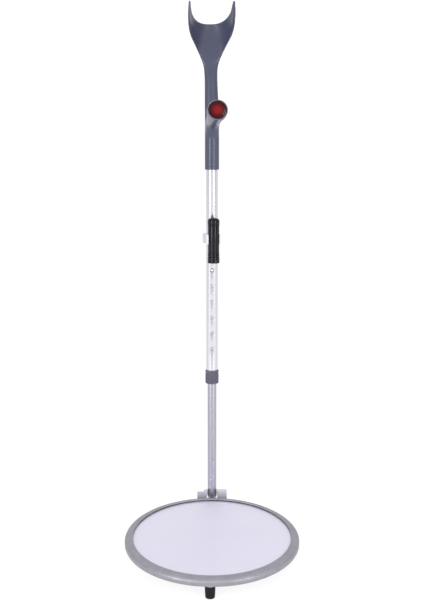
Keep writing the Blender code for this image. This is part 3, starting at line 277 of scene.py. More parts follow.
def rubber(name, colour):
    """Matt rubber with a little dust on it."""
    made, tree, shader = new_material(name)
    space = texture_space(tree)
    dust = noise_of(tree, space, 75, 5, 0.65)
    dusty = tuple(c * 1.9 + 0.004 for c in colour)
    paler = tuple(c * 1.25 for c in colour)
    base = ramp(tree, dust, ((0.38, colour), (0.62, paler), (0.80, dusty)))
    tree.links.new(base, shader.inputs["Base Color"])
    tree.links.new(spread(tree, dust, 0.62, 0.85), shader.inputs["Roughness"])
    shader.inputs["Sheen Weight"].default_value = 0.05
    shader.inputs["Specular IOR Level"].default_value = 0.2
    bumped(tree, shader, ((noise_of(tree, space, 1100, 3), 0.3, 0.0001), (dust, 0.12, 0.0005)))
    return made


def mirror_finish():
    """Silvered acrylic under its matt protective film: soft, even reflections and a few scuffs."""
    made, tree, shader = new_material("mirror_finish")
    shader.inputs["Metallic"].default_value = 0.8
    space = texture_space(tree)
    smear = noise_of(tree, texture_space(tree, (1, 2.2, 1)), 7, 4, 0.55)
    specks = spread(tree, noise_of(tree, space, 620, 2, 0.5), 0.0, 0.25, 0.70, 0.80)
    tint = ramp(tree, smear, ((0.30, (0.755, 0.742, 0.842)), (0.70, (0.778, 0.765, 0.862))))
    tree.links.new(mixed(tree, specks, tint, (0.66, 0.65, 0.72)), shader.inputs["Base Color"])
    tree.links.new(spread(tree, smear, 0.50, 0.58), shader.inputs["Roughness"])
    shader.inputs["Coat Weight"].default_value = 0.25
    shader.inputs["Coat Roughness"].default_value = 0.05
    bumped(tree, shader, ((noise_of(tree, space, 900, 2), 0.05, 0.00005), (smear, 0.02, 0.0002)))
    return made


def reflector_finish():
    """Red reflector: prism facets under a glossy face, deep red at the edge and brighter inside."""
    made, tree, shader = new_material("reflector_finish")
    space = texture_space(tree)
    cells = tree.nodes.new("ShaderNodeTexVoronoi")
    cells.inputs["Scale"].default_value = 520
    tree.links.new(space, cells.inputs["Vector"])
    inward = spread(tree, from_axis(tree), 1.0, 0.0, 0.0055, 0.0135)
    edge, ring, middle = (0.035, 0.001, 0.003), (0.105, 0.003, 0.004), (0.245, 0.007, 0.006)
    base = ramp(tree, inward, ((0.0, edge), (0.55, ring), (1.0, middle)))
    facets = spread(tree, cells.outputs["Distance"], 0.0, 0.45, 0.2, 0.7)
    tree.links.new(mixed(tree, facets, base, (0.05, 0.001, 0.003)), shader.inputs["Base Color"])
    shader.inputs["Roughness"].default_value = 0.16
    shader.inputs["Specular IOR Level"].default_value = 0.2
    bumped(tree, shader, ((cells.outputs["Distance"], 0.35, 0.0003),))
    return made


def clear_finish():
    """Clear lens plastic with a faint haze."""
    made, tree, shader = new_material("clear_finish")
    shader.inputs["Transmission Weight"].default_value = 0.95
    shader.inputs["IOR"].default_value = 1.49
    space = texture_space(tree)
    haze = noise_of(tree, space, 200, 3)
    tree.links.new(spread(tree, haze, 0.02, 0.10), shader.inputs["Roughness"])
    base = ramp(tree, haze, ((0.3, (0.93, 0.95, 0.97)), (0.7, (1, 1, 1))))
    tree.links.new(base, shader.inputs["Base Color"])
    return made


def glowing(name, colour):
    """The emitter's yellow phosphor, unlit."""
    made, tree, shader = new_material(name)
    spots = noise_of(tree, texture_space(tree), 2500, 2)
    base = ramp(tree, spots, ((0.3, tuple(c * 0.85 for c in colour)), (0.7, colour)))
    tree.links.new(base, shader.inputs["Base Color"])
    shader.inputs["Roughness"].default_value = 0.35
    shader.inputs["Subsurface Weight"].default_value = 0.1
    return made


def repainted(made, share, colour):
    """Paints a colour over part of a finish."""
    base = made.node_tree.nodes["Principled BSDF"].inputs["Base Color"]
    made.node_tree.links.new(mixed(made.node_tree, share, base.links[0].from_socket, colour), base)
    return made


def painted_groove_shade(made):
    """The snap button's dome keeps its bright steel colour, and painted shade darkens the groove and skirt
    round it.
    """
    tree = made.node_tree
    # painted shade: dark colour from the dome's edge outwards, in place of the groove's shadow
    return repainted(made, spread(tree, from_axis(tree), 0.0, 1.0, 0.0021, 0.0025), (0.10, 0.10, 0.11))


def painted_light_inside(made):
    """Painted light: the lower tube is painted lighter where it sits inside the upper tube, to lift the shade
    seen through the holes, and keeps its duller colour below.
    """
    tree = made.node_tree
    height = tree.nodes.new("ShaderNodeSeparateXYZ")
    tree.links.new(texture_space(tree), height.inputs["Vector"])
    # painted light, fading in from the upper tube's lower end upwards
    inside = spread(tree, height.outputs["Z"], 0.0, 1.0, INSIDE_LIGHT_BASE, INSIDE_LIGHT_BASE + INSIDE_LIGHT_FADE)
    return repainted(made, inside, (0.60, 0.59, 0.64))


ROUND = (1, 1, 0.02)        # streaks along Z
ACROSS = (0.03, 1, 1)       # streaks along X
EVEN = (1, 1, 1)
# where the painted light on the lower tube begins, and how far it fades in
INSIDE_LIGHT_BASE = ring_size("upper_tube", POLE)[1]
INSIDE_LIGHT_FADE = 0.03

FINISH = {
    "rim_steel": metal("rim_finish", (0.385, 0.372, 0.415), 0.55, EVEN, 0.05, 0.06, 0.10),
    "mirror": mirror_finish(),
    "pan_steel": metal("pan_finish", (0.33, 0.33, 0.35), 0.42, ACROSS, 0.06, 0.10, 0.12),
    "foam": plastic("foam_finish", (0.03, 0.03, 0.03), 0.92, 1500, 0.6),
    "rubber": rubber("rubber_finish", (0.0065, 0.0062, 0.009)),
    "zinc": metal("zinc_finish", (0.60, 0.60, 0.63), 0.30, EVEN, 0.07, 0.05, 0.10),
    "bracket": metal("bracket_finish", (0.80, 0.79, 0.84), 0.45, ROUND, 0.05, 0.08, 0.12),
    "tube": metal("tube_finish", (0.70, 0.695, 0.735), 0.27, ROUND, 0.03, 0.05, 0.06, 0.05, edge=0.5),
    # the lower tube is painted lighter inside the upper tube: painted light over the shade in the holes
    "lower_tube": painted_light_inside(
        metal("lower_tube_finish", (0.43, 0.425, 0.485), 0.28, ROUND, 0.04, 0.08, 0.10, 0.06, edge=0.7)),
    "nylon": plastic("nylon_finish", (0.62, 0.62, 0.58), 0.5, 600, 0.15, 0.04),
    "spring_steel": metal("spring_finish", (0.42, 0.42, 0.44), 0.30, EVEN),
    "collar": plastic("collar_finish", (0.075, 0.072, 0.108), 0.48, 900, 0.25, 0.06, worn=(0.15, 0.15, 0.20)),
    "handle": plastic(
        "handle_finish", (0.056, 0.061, 0.103), 0.29, 1100, 0.10, 0.07, worn=(0.11, 0.12, 0.17)),
    "bezel": plastic("bezel_finish", (0.12, 0.12, 0.16), 0.30, 900, 0.10, 0.06, worn=(0.26, 0.26, 0.31)),
    # the snap button gets painted shade in its groove and on its skirt
    "button": painted_groove_shade(metal("button_finish", (0.86, 0.85, 0.87), 0.22, EVEN)),
    "reflector_red": reflector_finish(),
    "clip_white": plastic("clip_finish", (0.66, 0.66, 0.70), 0.35, 500, 0.12, 0.03),
    "torch_black": plastic("torch_finish", (0.0035, 0.0027, 0.0070), 0.12, 500, 0.0, 0.15, specular=0.30),
    "torch_clear": clear_finish(),
    "reflector_chrome": metal("cone_finish", (0.85, 0.85, 0.86), 0.08, EVEN, 0.03, 0.03, 0.04, 0.03),
    "board_green": plastic("board_finish", (0.03, 0.20, 0.08), 0.5, 900, 0.15),
    "led_yellow": glowing("led_finish", (0.85, 0.72, 0.18)),
    "cell_wrap": metal("cell_finish", (0.10, 0.22, 0.45), 0.35, ROUND),
}


# ---------------------------------------------------------------- shape helpers

def linked(name, data):
    """A new object in the scene."""
    made = bpy.data.objects.new(name, data)
    bpy.context.scene.collection.objects.link(made)
    return made


def mesh_of(name, shape):
    """The bmesh as a mesh."""
    mesh = bpy.data.meshes.new(name)
    shape.to_mesh(mesh)
    shape.free()
    return mesh


def piece(name, shape, place, body, replaced, slot, finish=None, crease=32):
    """Turns a bmesh, made in the place's frame, into a piece that rides on a body."""
    bmesh.ops.recalc_face_normals(shape, faces=shape.faces)
    mesh = mesh_of(name, shape)
    mesh.shade_smooth()
    mesh.set_sharp_from_angle(angle=math.radians(crease))
    mesh.materials.append(FINISH[finish or slot])
    made = linked(name, mesh)
    made.matrix_world = place
    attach(made, body)
    if replaced:
        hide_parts(*replaced)
    return made


def softened(profile, radius, steps=3):
    """The closed (radius, height) profile with each of its corners rounded."""
    points = []
    count = len(profile)
    for k, here in enumerate(profile):
        here = Vector(here)
        before, after = Vector(profile[k - 1]) - here, Vector(profile[(k + 1) % count]) - here
        if here.x <= 0 or before.length == 0 or after.length == 0:
            points.append(tuple(here))
            continue
        turn = before.angle(after)
        if turn > math.radians(155):
            points.append(tuple(here))
            continue
        reach = min(radius / math.tan(turn / 2), before.length * 0.45, after.length * 0.45)
        start, end = here + before.normalized() * reach, here + after.normalized() * reach
        for n in range(steps + 1):
            t = n / steps
            spot = start * (1 - t) ** 2 + here * 2 * t * (1 - t) + end * t ** 2
            points.append(tuple(spot))
    return points


def turned(profile, segments=96):
    """A bmesh turned about Z from a closed profile of (radius, height) points."""
    shape = bmesh.new()
    rings = []
    for radius, height in profile:
        if radius <= 0:
            rings.append([shape.verts.new((0, 0, height))])
            continue
        angles = (math.tau * k / segments for k in range(segments))
        rings.append([shape.verts.new((radius * math.cos(a), radius * math.sin(a), height)) for a in angles])
    for first, second in zip(rings, rings[1:] + rings[:1]):
        if len(first) == 1 and len(second) == 1:
            continue
        for k in range(segments):
            nxt = (k + 1) % segments
            corners = (first[k % len(first)], first[nxt % len(first)],
                       second[nxt % len(second)], second[k % len(second)])
            shape.faces.new(list(dict.fromkeys(corners)))
    return shape


def domed(radius, rise, top, step, count):
    """Points up a quarter ellipse from its outer edge, a step in degrees apart."""
    turns = (math.radians(step * k) for k in range(count))
    return [(radius * math.cos(a), top - rise + rise * math.sin(a)) for a in turns]


def moved(shape, matrix):
    bmesh.ops.transform(shape, matrix=matrix, verts=shape.verts)
    return shape


def applied(target):
    """Applies every modifier on a piece, and drops the helpers they used."""
    helpers = [step.object for step in target.modifiers if getattr(step, "object", None)]
    evaluated = target.evaluated_get(bpy.context.evaluated_depsgraph_get())
    mesh = bpy.data.meshes.new_from_object(evaluated)
    target.modifiers.clear()
    target.data = mesh
    for helper in helpers:
        bpy.data.objects.remove(helper)


def settled(target, crease):
    """Applies a piece's modifiers and shades it again."""
    bpy.context.view_layer.update()
    applied(target)
    target.data.shade_smooth()
    target.data.set_sharp_from_angle(angle=math.radians(crease))


def bevelled(target, width, angle):
    """Rounds the edges sharper than an angle."""
    step = target.modifiers.new("Bevel", "BEVEL")
    step.width = width
    step.segments = 2
    step.limit_method = "ANGLE"
    step.angle_limit = math.radians(angle)


def walled(shape, rings):
    """Joins rings of vertices into a closed solid."""
    for first, second in zip(rings, rings[1:]):
        for k in range(len(first)):
            nxt = (k + 1) % len(first)
            shape.faces.new((first[k], first[nxt], second[nxt], second[k]))
    shape.faces.new(rings[0][::-1])
    shape.faces.new(rings[-1])
    return shape


def drilled(target, holes, crease=32, bevel=0.0):
    """Cuts round holes, each a (frame in the piece, radius, near, far), and rounds their edges."""
    cutter = bmesh.new()
    for place, radius, near, far in holes:
        bore = turned([(0, near), (radius, near), (radius, far), (0, far)], 40)
        moved(bore, place)
        bmesh.ops.recalc_face_normals(bore, faces=bore.faces)
        cutter.from_mesh(mesh_of("bore", bore))
    helper = linked("bores", mesh_of("bores", cutter))
    helper.matrix_world = target.matrix_world
    step = target.modifiers.new("Holes", "BOOLEAN")
    step.object = helper
    if bevel:
        bevelled(target, bevel, 40)
    settled(target, crease)


def refined(node, slot, bevel=0.0003, crease=35):
    """A copy of a CAD node with its corners bevelled and its round faces shaded smooth."""
    source = frame["nodes"][node]
    shape = bmesh.new()
    shape.from_mesh(source.data)
    bmesh.ops.remove_doubles(shape, verts=shape.verts, dist=0.000002)
    flat = [edge for edge in shape.edges
            if len(edge.link_faces) == 2 and edge.calc_face_angle(1.0) < math.radians(0.5)]
    bmesh.ops.dissolve_edges(shape, edges=flat, use_verts=True)
    made = piece(f"{node}_fine", shape, Matrix(), source["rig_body"], [node], slot, crease=crease)
    if bevel:
        bevelled(made, bevel, 38)
    return made


# ---------------------------------------------------------------- mirror head

LIP_WIDTH = 0.0155
LIP_DROP = 0.0080
RIM_SHEET = 0.0015
MIRROR_EDGE_RADIUS = 0.1576
MIRROR_RECESS = 0.0034
MIRROR_SAG = 0.006
MIRROR_THICKNESS = 0.003
ROLL = 0.0012                # of the rim's lower edge
PAN_SHEET = 0.0015
BEAD_DEPTH = 0.0012
BEAD_WIDTH = 0.006
BEAD_SLOPE = 0.0015
DIMPLE_RADIUS = 0.012
DIMPLE_FOOT = 0.016
SOLE_SHARE = 0.888           # of the foot's radius at its top
FOOT_COUNTERBORE = 0.0048
FOOT_HOLE = 0.0028
FOOT_COUNTERBORE_DEPTH = 0.015
TREAD_DEPTH = 0.0006
SCREW_SHANK = 0.0025
SCREW_HEAD = 0.003
BOLT_RADIUS = 0.003
BOLT_HEAD = 0.004
BOLT_HEAD_REACH = 0.0058     # from its axis to a corner
THREAD_PITCH = 0.0010
THREAD_TURNS = 9
RIVET_RISE = 0.0016
RIVET_SHANK = 0.0016
VIEW_RADIUS = RIM_RADIUS - LIP_WIDTH


def lip_curve(inset, steps):
    """The rounded lip, a quarter ellipse from its inner edge to the wall, moved in by the inset."""
    reach, drop = LIP_WIDTH - inset, LIP_DROP - inset
    angles = (math.pi / 2 * k / steps for k in range(steps + 1))
    return [(VIEW_RADIUS + reach * math.sin(a), LIP_HEIGHT - LIP_DROP + drop * math.cos(a)) for a in angles]


def rim():
    """Spun ring: a rounded lip with a softened inner edge, and a wall with a small rolled foot."""
    base, inner, middle = RIM_LOW.z, RIM_RADIUS - RIM_SHEET, RIM_RADIUS - RIM_SHEET / 2
    foot = [(middle - ROLL * 0.9, base), (middle, base), (RIM_RADIUS, base + ROLL)]
    outside = lip_curve(0, 28)[::-1]
    outside[-1] = (VIEW_RADIUS + 0.0004, LIP_HEIGHT)
    inside = [(VIEW_RADIUS, LIP_HEIGHT - 0.0005), (VIEW_RADIUS, LIP_HEIGHT - RIM_SHEET + 0.0004)]
    profile = foot + outside + inside + lip_curve(RIM_SHEET, 14) + [(inner, base + ROLL)]
    piece("rim", turned(profile, 256), HEAD, "mirror_head", ["rim_bezel"], "rim_steel", crease=50)


def mirror_surface(radius):
    """Height of the convex mirror at a distance from its middle."""
    return LIP_HEIGHT - MIRROR_RECESS + MIRROR_SAG * (1 - (radius / VIEW_RADIUS) ** 2)


def mirror():
    """The convex mirror, domed in its middle, with a ground edge."""
    steps = 40
    upper = [(r, mirror_surface(r)) for r in (MIRROR_EDGE_RADIUS * k / steps for k in range(steps + 1))]
    under = (MIRROR_EDGE_RADIUS, MIRROR_EDGE_RADIUS / 2, 0)
    lower = [(r, mirror_surface(r) - MIRROR_THICKNESS) for r in under]
    piece("mirror", turned(upper + lower, 256), HEAD, "mirror_head", ["mirror_glass"], "mirror", crease=50)


def pan():
    """Pressed dish behind the mirror, with two ring beads and a dimple that stiffen it."""
    radius, base, top = ring_size("mirror_pan", HEAD)
    pressed = base + BEAD_DEPTH
    lower = [(0, pressed), (DIMPLE_RADIUS, pressed), (DIMPLE_FOOT, base)]
    for ring in (0.055, 0.105):
        lower += [(ring, base), (ring + BEAD_SLOPE, pressed)]
        lower += [(ring + BEAD_WIDTH - BEAD_SLOPE, pressed), (ring + BEAD_WIDTH, base)]
    inner = radius - PAN_SHEET
    outer = [(radius, base), (radius, top), (inner, top), (inner, base + PAN_SHEET)]
    upper = [(r, z + PAN_SHEET) for r, z in reversed(lower)]
    profile = softened(lower + outer + upper, 0.0006, 2)
    piece("pan", turned(profile, 192), HEAD, "mirror_head", ["mirror_pan"], "pan_steel")


def feet():
    """Rubber feet with a moulded bead and a sole tread, over rounded plates and cross-head screws."""
    for side in ("front", "right", "rear", "left"):
        low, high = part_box(f"{side}_foot")
        at = Matrix.Translation(((low.x + high.x) / 2, (low.y + high.y) / 2, 0))
        radius, height = (high.x - low.x) / 2, high.z
        sole, bore, hole = radius * SOLE_SHARE, FOOT_COUNTERBORE, FOOT_HOLE
        tread = [(bore, 0), (bore + 0.0009, 0), (bore + 0.0009, TREAD_DEPTH)]
        tread += [(sole - 0.0028, TREAD_DEPTH), (sole - 0.0028, 0), (sole, 0)]
        bead = [(sole + out, height * up) for out, up in ((0.0006, 0.42), (0.0003, 0.46), (0.0008, 0.50))]
        rim_edge = [(radius - 0.0003, height - 0.003), (radius, height - 0.0022), (radius, height)]
        inside = [(hole, height), (hole, FOOT_COUNTERBORE_DEPTH), (bore, FOOT_COUNTERBORE_DEPTH)]
        profile = softened(tread + bead + rim_edge + inside, 0.0009, 3)
        head_piece(f"foot_{side}", turned(profile, 64), at, f"{side}_foot", "rubber", crease=50)
        low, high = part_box(f"{side}_foot_plate")
        radius = (high.x - low.x) / 2
        plate = softened([(hole, low.z), (radius, low.z), (radius, high.z), (hole, high.z)], 0.0006)
        head_piece(f"foot_plate_{side}", turned(plate, 64), at, f"{side}_foot_plate", "bracket")
        low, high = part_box(f"{side}_foot_screw")
        head, shank, flange = (high.x - low.x) / 2, SCREW_SHANK, low.z + SCREW_HEAD
        screw = [(0, low.z), (head * 0.75, low.z + 0.0002), (head, low.z + 0.0012), (head, flange)]
        screw += [(shank, flange), (shank, high.z - 0.0005), (shank - 0.0005, high.z), (0, high.z)]
        made = head_piece(f"foot_screw_{side}", turned(screw, 40), at, f"{side}_foot_screw", "zinc")
        cross(made, low.z, head)
        refined(f"{side}_foot_nut", "zinc", 0.0004)


def head_piece(name, shape, place, node, slot, crease=32):
    """A piece of the mirror head that stands for one CAD node."""
    return piece(name, shape, place, "mirror_head", [node], slot, crease=crease)


def cross(target, face, reach):
    """Cuts a cross recess into a screw's face, which looks down."""
    shape = bmesh.new()
    for turn in (0, 90):
        depth = 0.0026 - turn * 0.000001        # unequal, so that the two slots share no face
        place = Matrix.Translation((0, 0, face)) @ Matrix.Rotation(math.radians(turn), 4, "Z")
        size = Matrix.Diagonal((reach * 1.1, reach * 0.26, depth, 1))
        bmesh.ops.create_cube(shape, size=1, matrix=place @ size)
    helper = linked("cross", mesh_of("cross", shape))
    helper.matrix_world = target.matrix_world
    step = target.modifiers.new("Recess", "BOOLEAN")
    step.object = helper
    step.use_self = True
    settled(target, 32)


def hinge():
    """Brackets, rivets, bolt, washers and wing nut."""
    refined("left_bracket", "bracket", 0.0006)
    refined("right_bracket", "bracket", 0.0006)
    for side in ("left", "right"):
        for k in (1, 2):
            rivet(f"{side}_rivet_{k}")
        refined(f"{side}_side_washer", "nylon", 0.0001)
    refined("nut_washer", "zinc", 0.0002)
    refined("wing_nut", "zinc", 0.0004)
    pivot_bolt()


def pivot_bolt():
    """A threaded shank, and its chamfered hexagon head."""
    pivot = Matrix.Translation(PIVOT) @ ALONG_X
    low, high = extent("pivot_bolt", pivot)
    radius, reach = BOLT_RADIUS, BOLT_HEAD_REACH
    thread = [(radius - 0.0005, high.z)]
    for k in range(THREAD_TURNS):
        at = high.z - 0.0005 - THREAD_PITCH * k
        thread += [(radius, at - THREAD_PITCH * 0.25), (radius - 0.00045, at - THREAD_PITCH * 0.75)]
    foot = [(radius, low.z + BOLT_HEAD), (radius, low.z + BOLT_HEAD / 2), (0, low.z + BOLT_HEAD / 2)]
    shank = turned([(0, high.z)] + thread + foot, 48)
    head_piece("pivot_bolt_fine", shank, pivot, "pivot_bolt", "zinc")
    shape = bmesh.new()
    corners = [(math.cos(math.tau * k / 6), math.sin(math.tau * k / 6)) for k in range(6)]
    levels = ((low.z, reach * 0.86), (low.z + 0.0006, reach), (low.z + BOLT_HEAD, reach))
    rings = [[shape.verts.new((r * x, r * y, z)) for x, y in corners] for z, r in levels]
    piece("pivot_bolt_head", walled(shape, rings), pivot, "mirror_head", None, "zinc")


def rivet(node):
    """A domed rivet along Y, from the size of its CAD node."""
    low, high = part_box(node)
    at = Matrix.Translation(((low.x + high.x) / 2, 0, (low.z + high.z) / 2)) @ ALONG_Y
    head, shank = (high.x - low.x) / 2, RIVET_SHANK
    profile = [(0, low.y), (head, low.y), (head, low.y + RIVET_RISE), (shank, low.y + RIVET_RISE)]
    profile += [(shank, high.y - RIVET_RISE)] + domed(head, RIVET_RISE, high.y, 15, 6) + [(0, high.y)]
    head_piece(f"{node}_fine", turned(profile, 36), at, node, "zinc")


# ---------------------------------------------------------------- pole

HOLE_PITCH = JOINTS["telescope"]["range_m"][1] / 5
HOLE_RADIUS = 0.0040
HOLES = range(-5, 2)         # places in the row, from the snap button's own
TUBE_WALL = 0.0018
PIVOT_HOLE_RADIUS = 0.0033
BUTTON_RADIUS = 0.0037
BUTTON_RISE = 0.0018
BUTTON_FLANGE = 0.0012
COLLAR_BORE = 0.0113
COLLAR_LIP = 0.0091
COLLAR_FLOOR = 0.0015
COLLAR_CORNER = 0.0026
COLLAR_BARREL = 0.0003
COLLAR_GROOVE = 0.0004


def button_height():
    """Height of the snap button's axis on the pole."""
    low, high = extent("snap_button", POLE)
    return (low.z + high.z) / 2


def tube(name, node, body, finish):
    """A tube with softened ends, and its outer radius."""
    radius, base, top = ring_size(node, POLE)
    profile = [(radius - TUBE_WALL, base), (radius, base), (radius, top), (radius - TUBE_WALL, top)]
    shape = turned(softened(profile, 0.0004), 96)
    return piece(name, shape, POLE, body, [node], "tube", finish), radius


def pole():
    """Both tubes with their drilled holes, the snap button and the collar."""
    height = button_height()
    made, radius = tube("pole_lower", "lower_tube", "lower_pole", "lower_tube")
    button_hole = (Matrix.Translation((0, 0, height)) @ FORWARD, HOLE_RADIUS, radius / 2, 0.02)
    drilled(made, [(ALONG_X, PIVOT_HOLE_RADIUS, -0.02, 0.02), button_hole], bevel=0.0002)
    made, radius = tube("pole_upper", "upper_tube", "upper_pole", None)
    spots = [Matrix.Translation((0, 0, height + HOLE_PITCH * k)) @ FORWARD for k in HOLES]
    drilled(made, [(spot, HOLE_RADIUS, radius / 2, 0.02) for spot in spots], bevel=0.0003)
    place = POLE @ Matrix.Translation((0, 0, height)) @ FORWARD
    low, high = extent("snap_button", place)
    flange, seat = (high.x - low.x) / 2, low.z + BUTTON_FLANGE
    profile = [(0, low.z), (flange, low.z), (flange, seat), (BUTTON_RADIUS, seat)]
    profile += domed(BUTTON_RADIUS, BUTTON_RISE, high.z, 12, 7) + [(0, high.z)]
    shape = turned(profile, 48)
    piece("snap_button_fine", shape, place, "snap_button", ["snap_button"], "spring_steel", "button")
    collar()


def collar():
    """Moulded collar, slightly barrelled, with a fine ring near its top and a rounded lower end."""
    radius, base, top = ring_size("collar", POLE)
    height, corner, groove = top - base, COLLAR_CORNER, COLLAR_GROOVE
    turns = (math.radians(15 * k) for k in range(7))
    round_end = [(radius - corner + corner * math.sin(a), base + corner - corner * math.cos(a))
                 for a in turns]
    swell = [(radius - COLLAR_BARREL * (2 * t - 1) ** 2, base + corner + (height * 0.82 - corner) * t)
             for t in (k / 10 for k in range(1, 11))]
    near = base + height * 0.86
    ring = [(radius - groove, near - groove), (radius - groove, near + groove), (radius, near + 2 * groove)]
    inside = [(COLLAR_BORE, top), (COLLAR_BORE, base + COLLAR_FLOOR), (COLLAR_LIP, base + COLLAR_FLOOR)]
    profile = [(COLLAR_LIP, base)] + round_end + swell + ring
    profile += [(radius, top - 0.0005), (radius - 0.0005, top)] + inside
    piece("collar_fine", turned(profile, 96), POLE, "collar", ["collar"], "collar")


# ---------------------------------------------------------------- handle

SLEEVE_BASE = extent("handle_body", HAND)[0].z
SLEEVE_RADIUS = 0.0141
TUBE_IN_HANDLE = 0.086
STEM_FOOT_HALF_WIDTH = 0.0137
STEM_HALF_WIDTH = 0.0126
STEM_HALF_DEPTH = 0.0098
STEM_LEAN = math.radians(15.0)
STEM_HEIGHT = 0.7900
CUFF_HEIGHT = 0.9290
CUFF_BACK = 0.0560
CUFF_HALF_WIDTH = 0.0455
CUFF_DEPTH = 0.0600
CUFF_WALL = 0.0042
CUFF_TIP_RISE = 0.0405
CUFF_TIP_BOOST = 0.22
CUFF_TIP_START = math.radians(68)
CUFF_TIP_END = math.radians(80)
GRIP_LENGTH = 0.1145
GRIP_NECK_RADIUS = 0.0130
GRIP_PALM_RADIUS = 0.0152
GRIP_END_RADIUS = 0.0192
ELBOW_RADIUS = 0.0134
ELBOW_BEND = 0.0430
GRIP_BORE_RADIUS = 0.0120
GRIP_BORE_DEPTH = 0.020
TUBE_BORE_RADIUS = 0.0113
BLEND_REACH = 0.045
SHELL_VOXEL = 0.0011
BEZEL_BORE_RADIUS = 0.0171
BEZEL_PLUG_RADIUS = 0.0117
BEZEL_FLOOR = 0.0011
LENS_GAP = 0.0003
LENS_RISE = 0.0014


def stem_centre(height):
    """How far back the leaning stem's middle is at a height."""
    return math.tan(STEM_LEAN) * max(0.0, height - GRIP_HEIGHT - SLEEVE_RADIUS / 2)


def handle_stations():
    """Levels of the handle: height, half width, back, depth, front bow, wall and tip rise."""
    r, w, d = SLEEVE_RADIUS, STEM_HALF_WIDTH, STEM_HALF_DEPTH
    sleeve = (SLEEVE_BASE - 0.004, SLEEVE_BASE + 0.03, GRIP_HEIGHT - 0.02, GRIP_HEIGHT + 0.004)
    stations = [(h, r, r, r, -r, 0, 0) for h in sleeve]
    flare_base = STEM_HEIGHT + 0.034
    stem_base = STEM_HEIGHT - 0.022
    halfway = (w + STEM_FOOT_HALF_WIDTH) / 2
    for height, half in ((stem_base, STEM_FOOT_HALF_WIDTH), (STEM_HEIGHT, halfway), (flare_base, w)):
        stations.append((height, half, stem_centre(height) + d, d, -d, 0, 0))
    flare = CUFF_HEIGHT - flare_base
    back_base = stem_centre(flare_base) + d
    for up, width, depth, thick, rise in (
        (0.22, 0.05, 0.02, 0.0155, 0.00), (0.39, 0.24, 0.08, 0.0140, 0.00), (0.57, 0.56, 0.25, 0.0100, 0.08),
        (0.70, 0.83, 0.48, 0.0062, 0.18), (0.80, 0.97, 0.68, 0.0048, 0.37),
        (0.90, 1.01, 0.84, CUFF_WALL, 0.70), (1.00, 0.97, 1.00, CUFF_WALL, 1.00),
    ):
        span = d + (CUFF_DEPTH - d) * depth
        back = back_base + (CUFF_BACK - back_base) * up
        half = w + (CUFF_HALF_WIDTH - w) * width
        wall = CUFF_WALL * min(1, depth * 2)
        stations.append((flare_base + flare * up, half, back, span, span - thick, wall, CUFF_TIP_RISE * rise))
    return stations


def between(stations, steps):
    """The stations with smooth levels added between them."""
    levels = []
    for k in range(len(stations) - 1):
        quad = [Vector(stations[max(0, min(len(stations) - 1, n))]) for n in (k - 1, k, k + 1, k + 2)]
        for n in range(steps):
            t = n / steps
            before = (quad[2] - quad[0]) / 2 if k else quad[2] - quad[1]
            after = (quad[3] - quad[1]) / 2
            levels.append(quad[1] * (2 * t ** 3 - 3 * t ** 2 + 1) + before * (t ** 3 - 2 * t ** 2 + t)
                          + quad[2] * (3 * t ** 2 - 2 * t ** 3) + after * (t ** 3 - t ** 2))
    return levels + [Vector(stations[-1])]


def tip_share(angle):
    """How much of the tip rise a point of the cuff has, by its angle from the middle of the back."""
    turn = abs(angle)
    late = max(0.0, turn - CUFF_TIP_START) / (CUFF_TIP_END - CUFF_TIP_START)
    return min(1.0, (1 - math.cos(turn)) ** 1.3 + CUFF_TIP_BOOST * late)


def handle_loops(level, points):
    """The back and front lines of one level."""
    height, half_width, back, depth, front, wall, rise = level
    loops = []
    for width, bow, span in ((half_width, depth, 90), (half_width - wall, front, 80)):
        loop = []
        for k in range(points):
            angle = math.radians(span) * (2 * k / (points - 1) - 1)
            behind, up = back - depth + bow * math.cos(angle), height + rise * tip_share(angle)
            loop.append((width * math.sin(angle), behind, up))
        loops.append(loop)
    return loops


def handle_skin():
    """The sleeve, stem and cuff as one closed skin."""
    points = 49
    shape = bmesh.new()
    levels = []
    for level in between(handle_stations(), 6):
        back, front = handle_loops(level, points)
        levels.append([[shape.verts.new(p) for p in back], [shape.verts.new(p) for p in front]])
    for (back_a, front_a), (back_b, front_b) in zip(levels, levels[1:]):
        for k in range(points - 1):
            shape.faces.new((back_a[k], back_a[k + 1], back_b[k + 1], back_b[k]))
            shape.faces.new((front_a[k + 1], front_a[k], front_b[k], front_b[k + 1]))
        shape.faces.new((front_a[0], back_a[0], back_b[0], front_b[0]))
        shape.faces.new((back_a[-1], front_a[-1], front_b[-1], back_b[-1]))
    for back, front in (levels[0], levels[-1]):
        for k in range(points - 1):
            shape.faces.new((back[k], front[k], front[k + 1], back[k + 1]))
    return shape


def grip_skin():
    """The hand grip, swelling to the palm and flared at its end."""
    neck, palm, end = GRIP_NECK_RADIUS, GRIP_PALM_RADIUS, GRIP_END_RADIUS
    swell, flare = palm - neck, end - palm
    knots = [(0, neck), (0.15, neck), (0.3, neck + 0.55 * swell), (0.45, neck + 0.95 * swell), (0.6, palm)]
    knots += [(0.72, neck + 0.85 * swell), (0.79, palm), (0.83, palm + 0.6 * flare)]
    knots += [(0.86, palm + 0.95 * flare), (0.9, end), (1.02, end)]
    side = [(radius, GRIP_LENGTH * share) for share, radius in knots]
    return turned([(0, 0)] + side + [(0, GRIP_LENGTH * 1.02)], 64)


def elbow_skin():
    """The web under the grip: a bar that bends from the sleeve's axis onto the grip's axis."""
    turn = math.radians(90) - GRIP_RISE
    tangent = ELBOW_BEND * math.tan(turn / 2)
    shape = bmesh.new()
    steps, around = 24, 48
    rings = []
    for k in range(steps + 1):
        angle = turn * k / steps
        height = GRIP_HEIGHT - tangent + ELBOW_BEND * math.sin(angle)
        centre = Vector((0, ELBOW_BEND * (math.cos(angle) - 1), height))
        out = Vector((0, math.cos(angle), math.sin(angle)))
        turns = (math.tau * n / around for n in range(around))
        spokes = (Vector((math.cos(t), 0, 0)) + out * math.sin(t) for t in turns)
        rings.append([shape.verts.new(centre + ELBOW_RADIUS * spoke) for spoke in spokes])
    return walled(shape, rings)


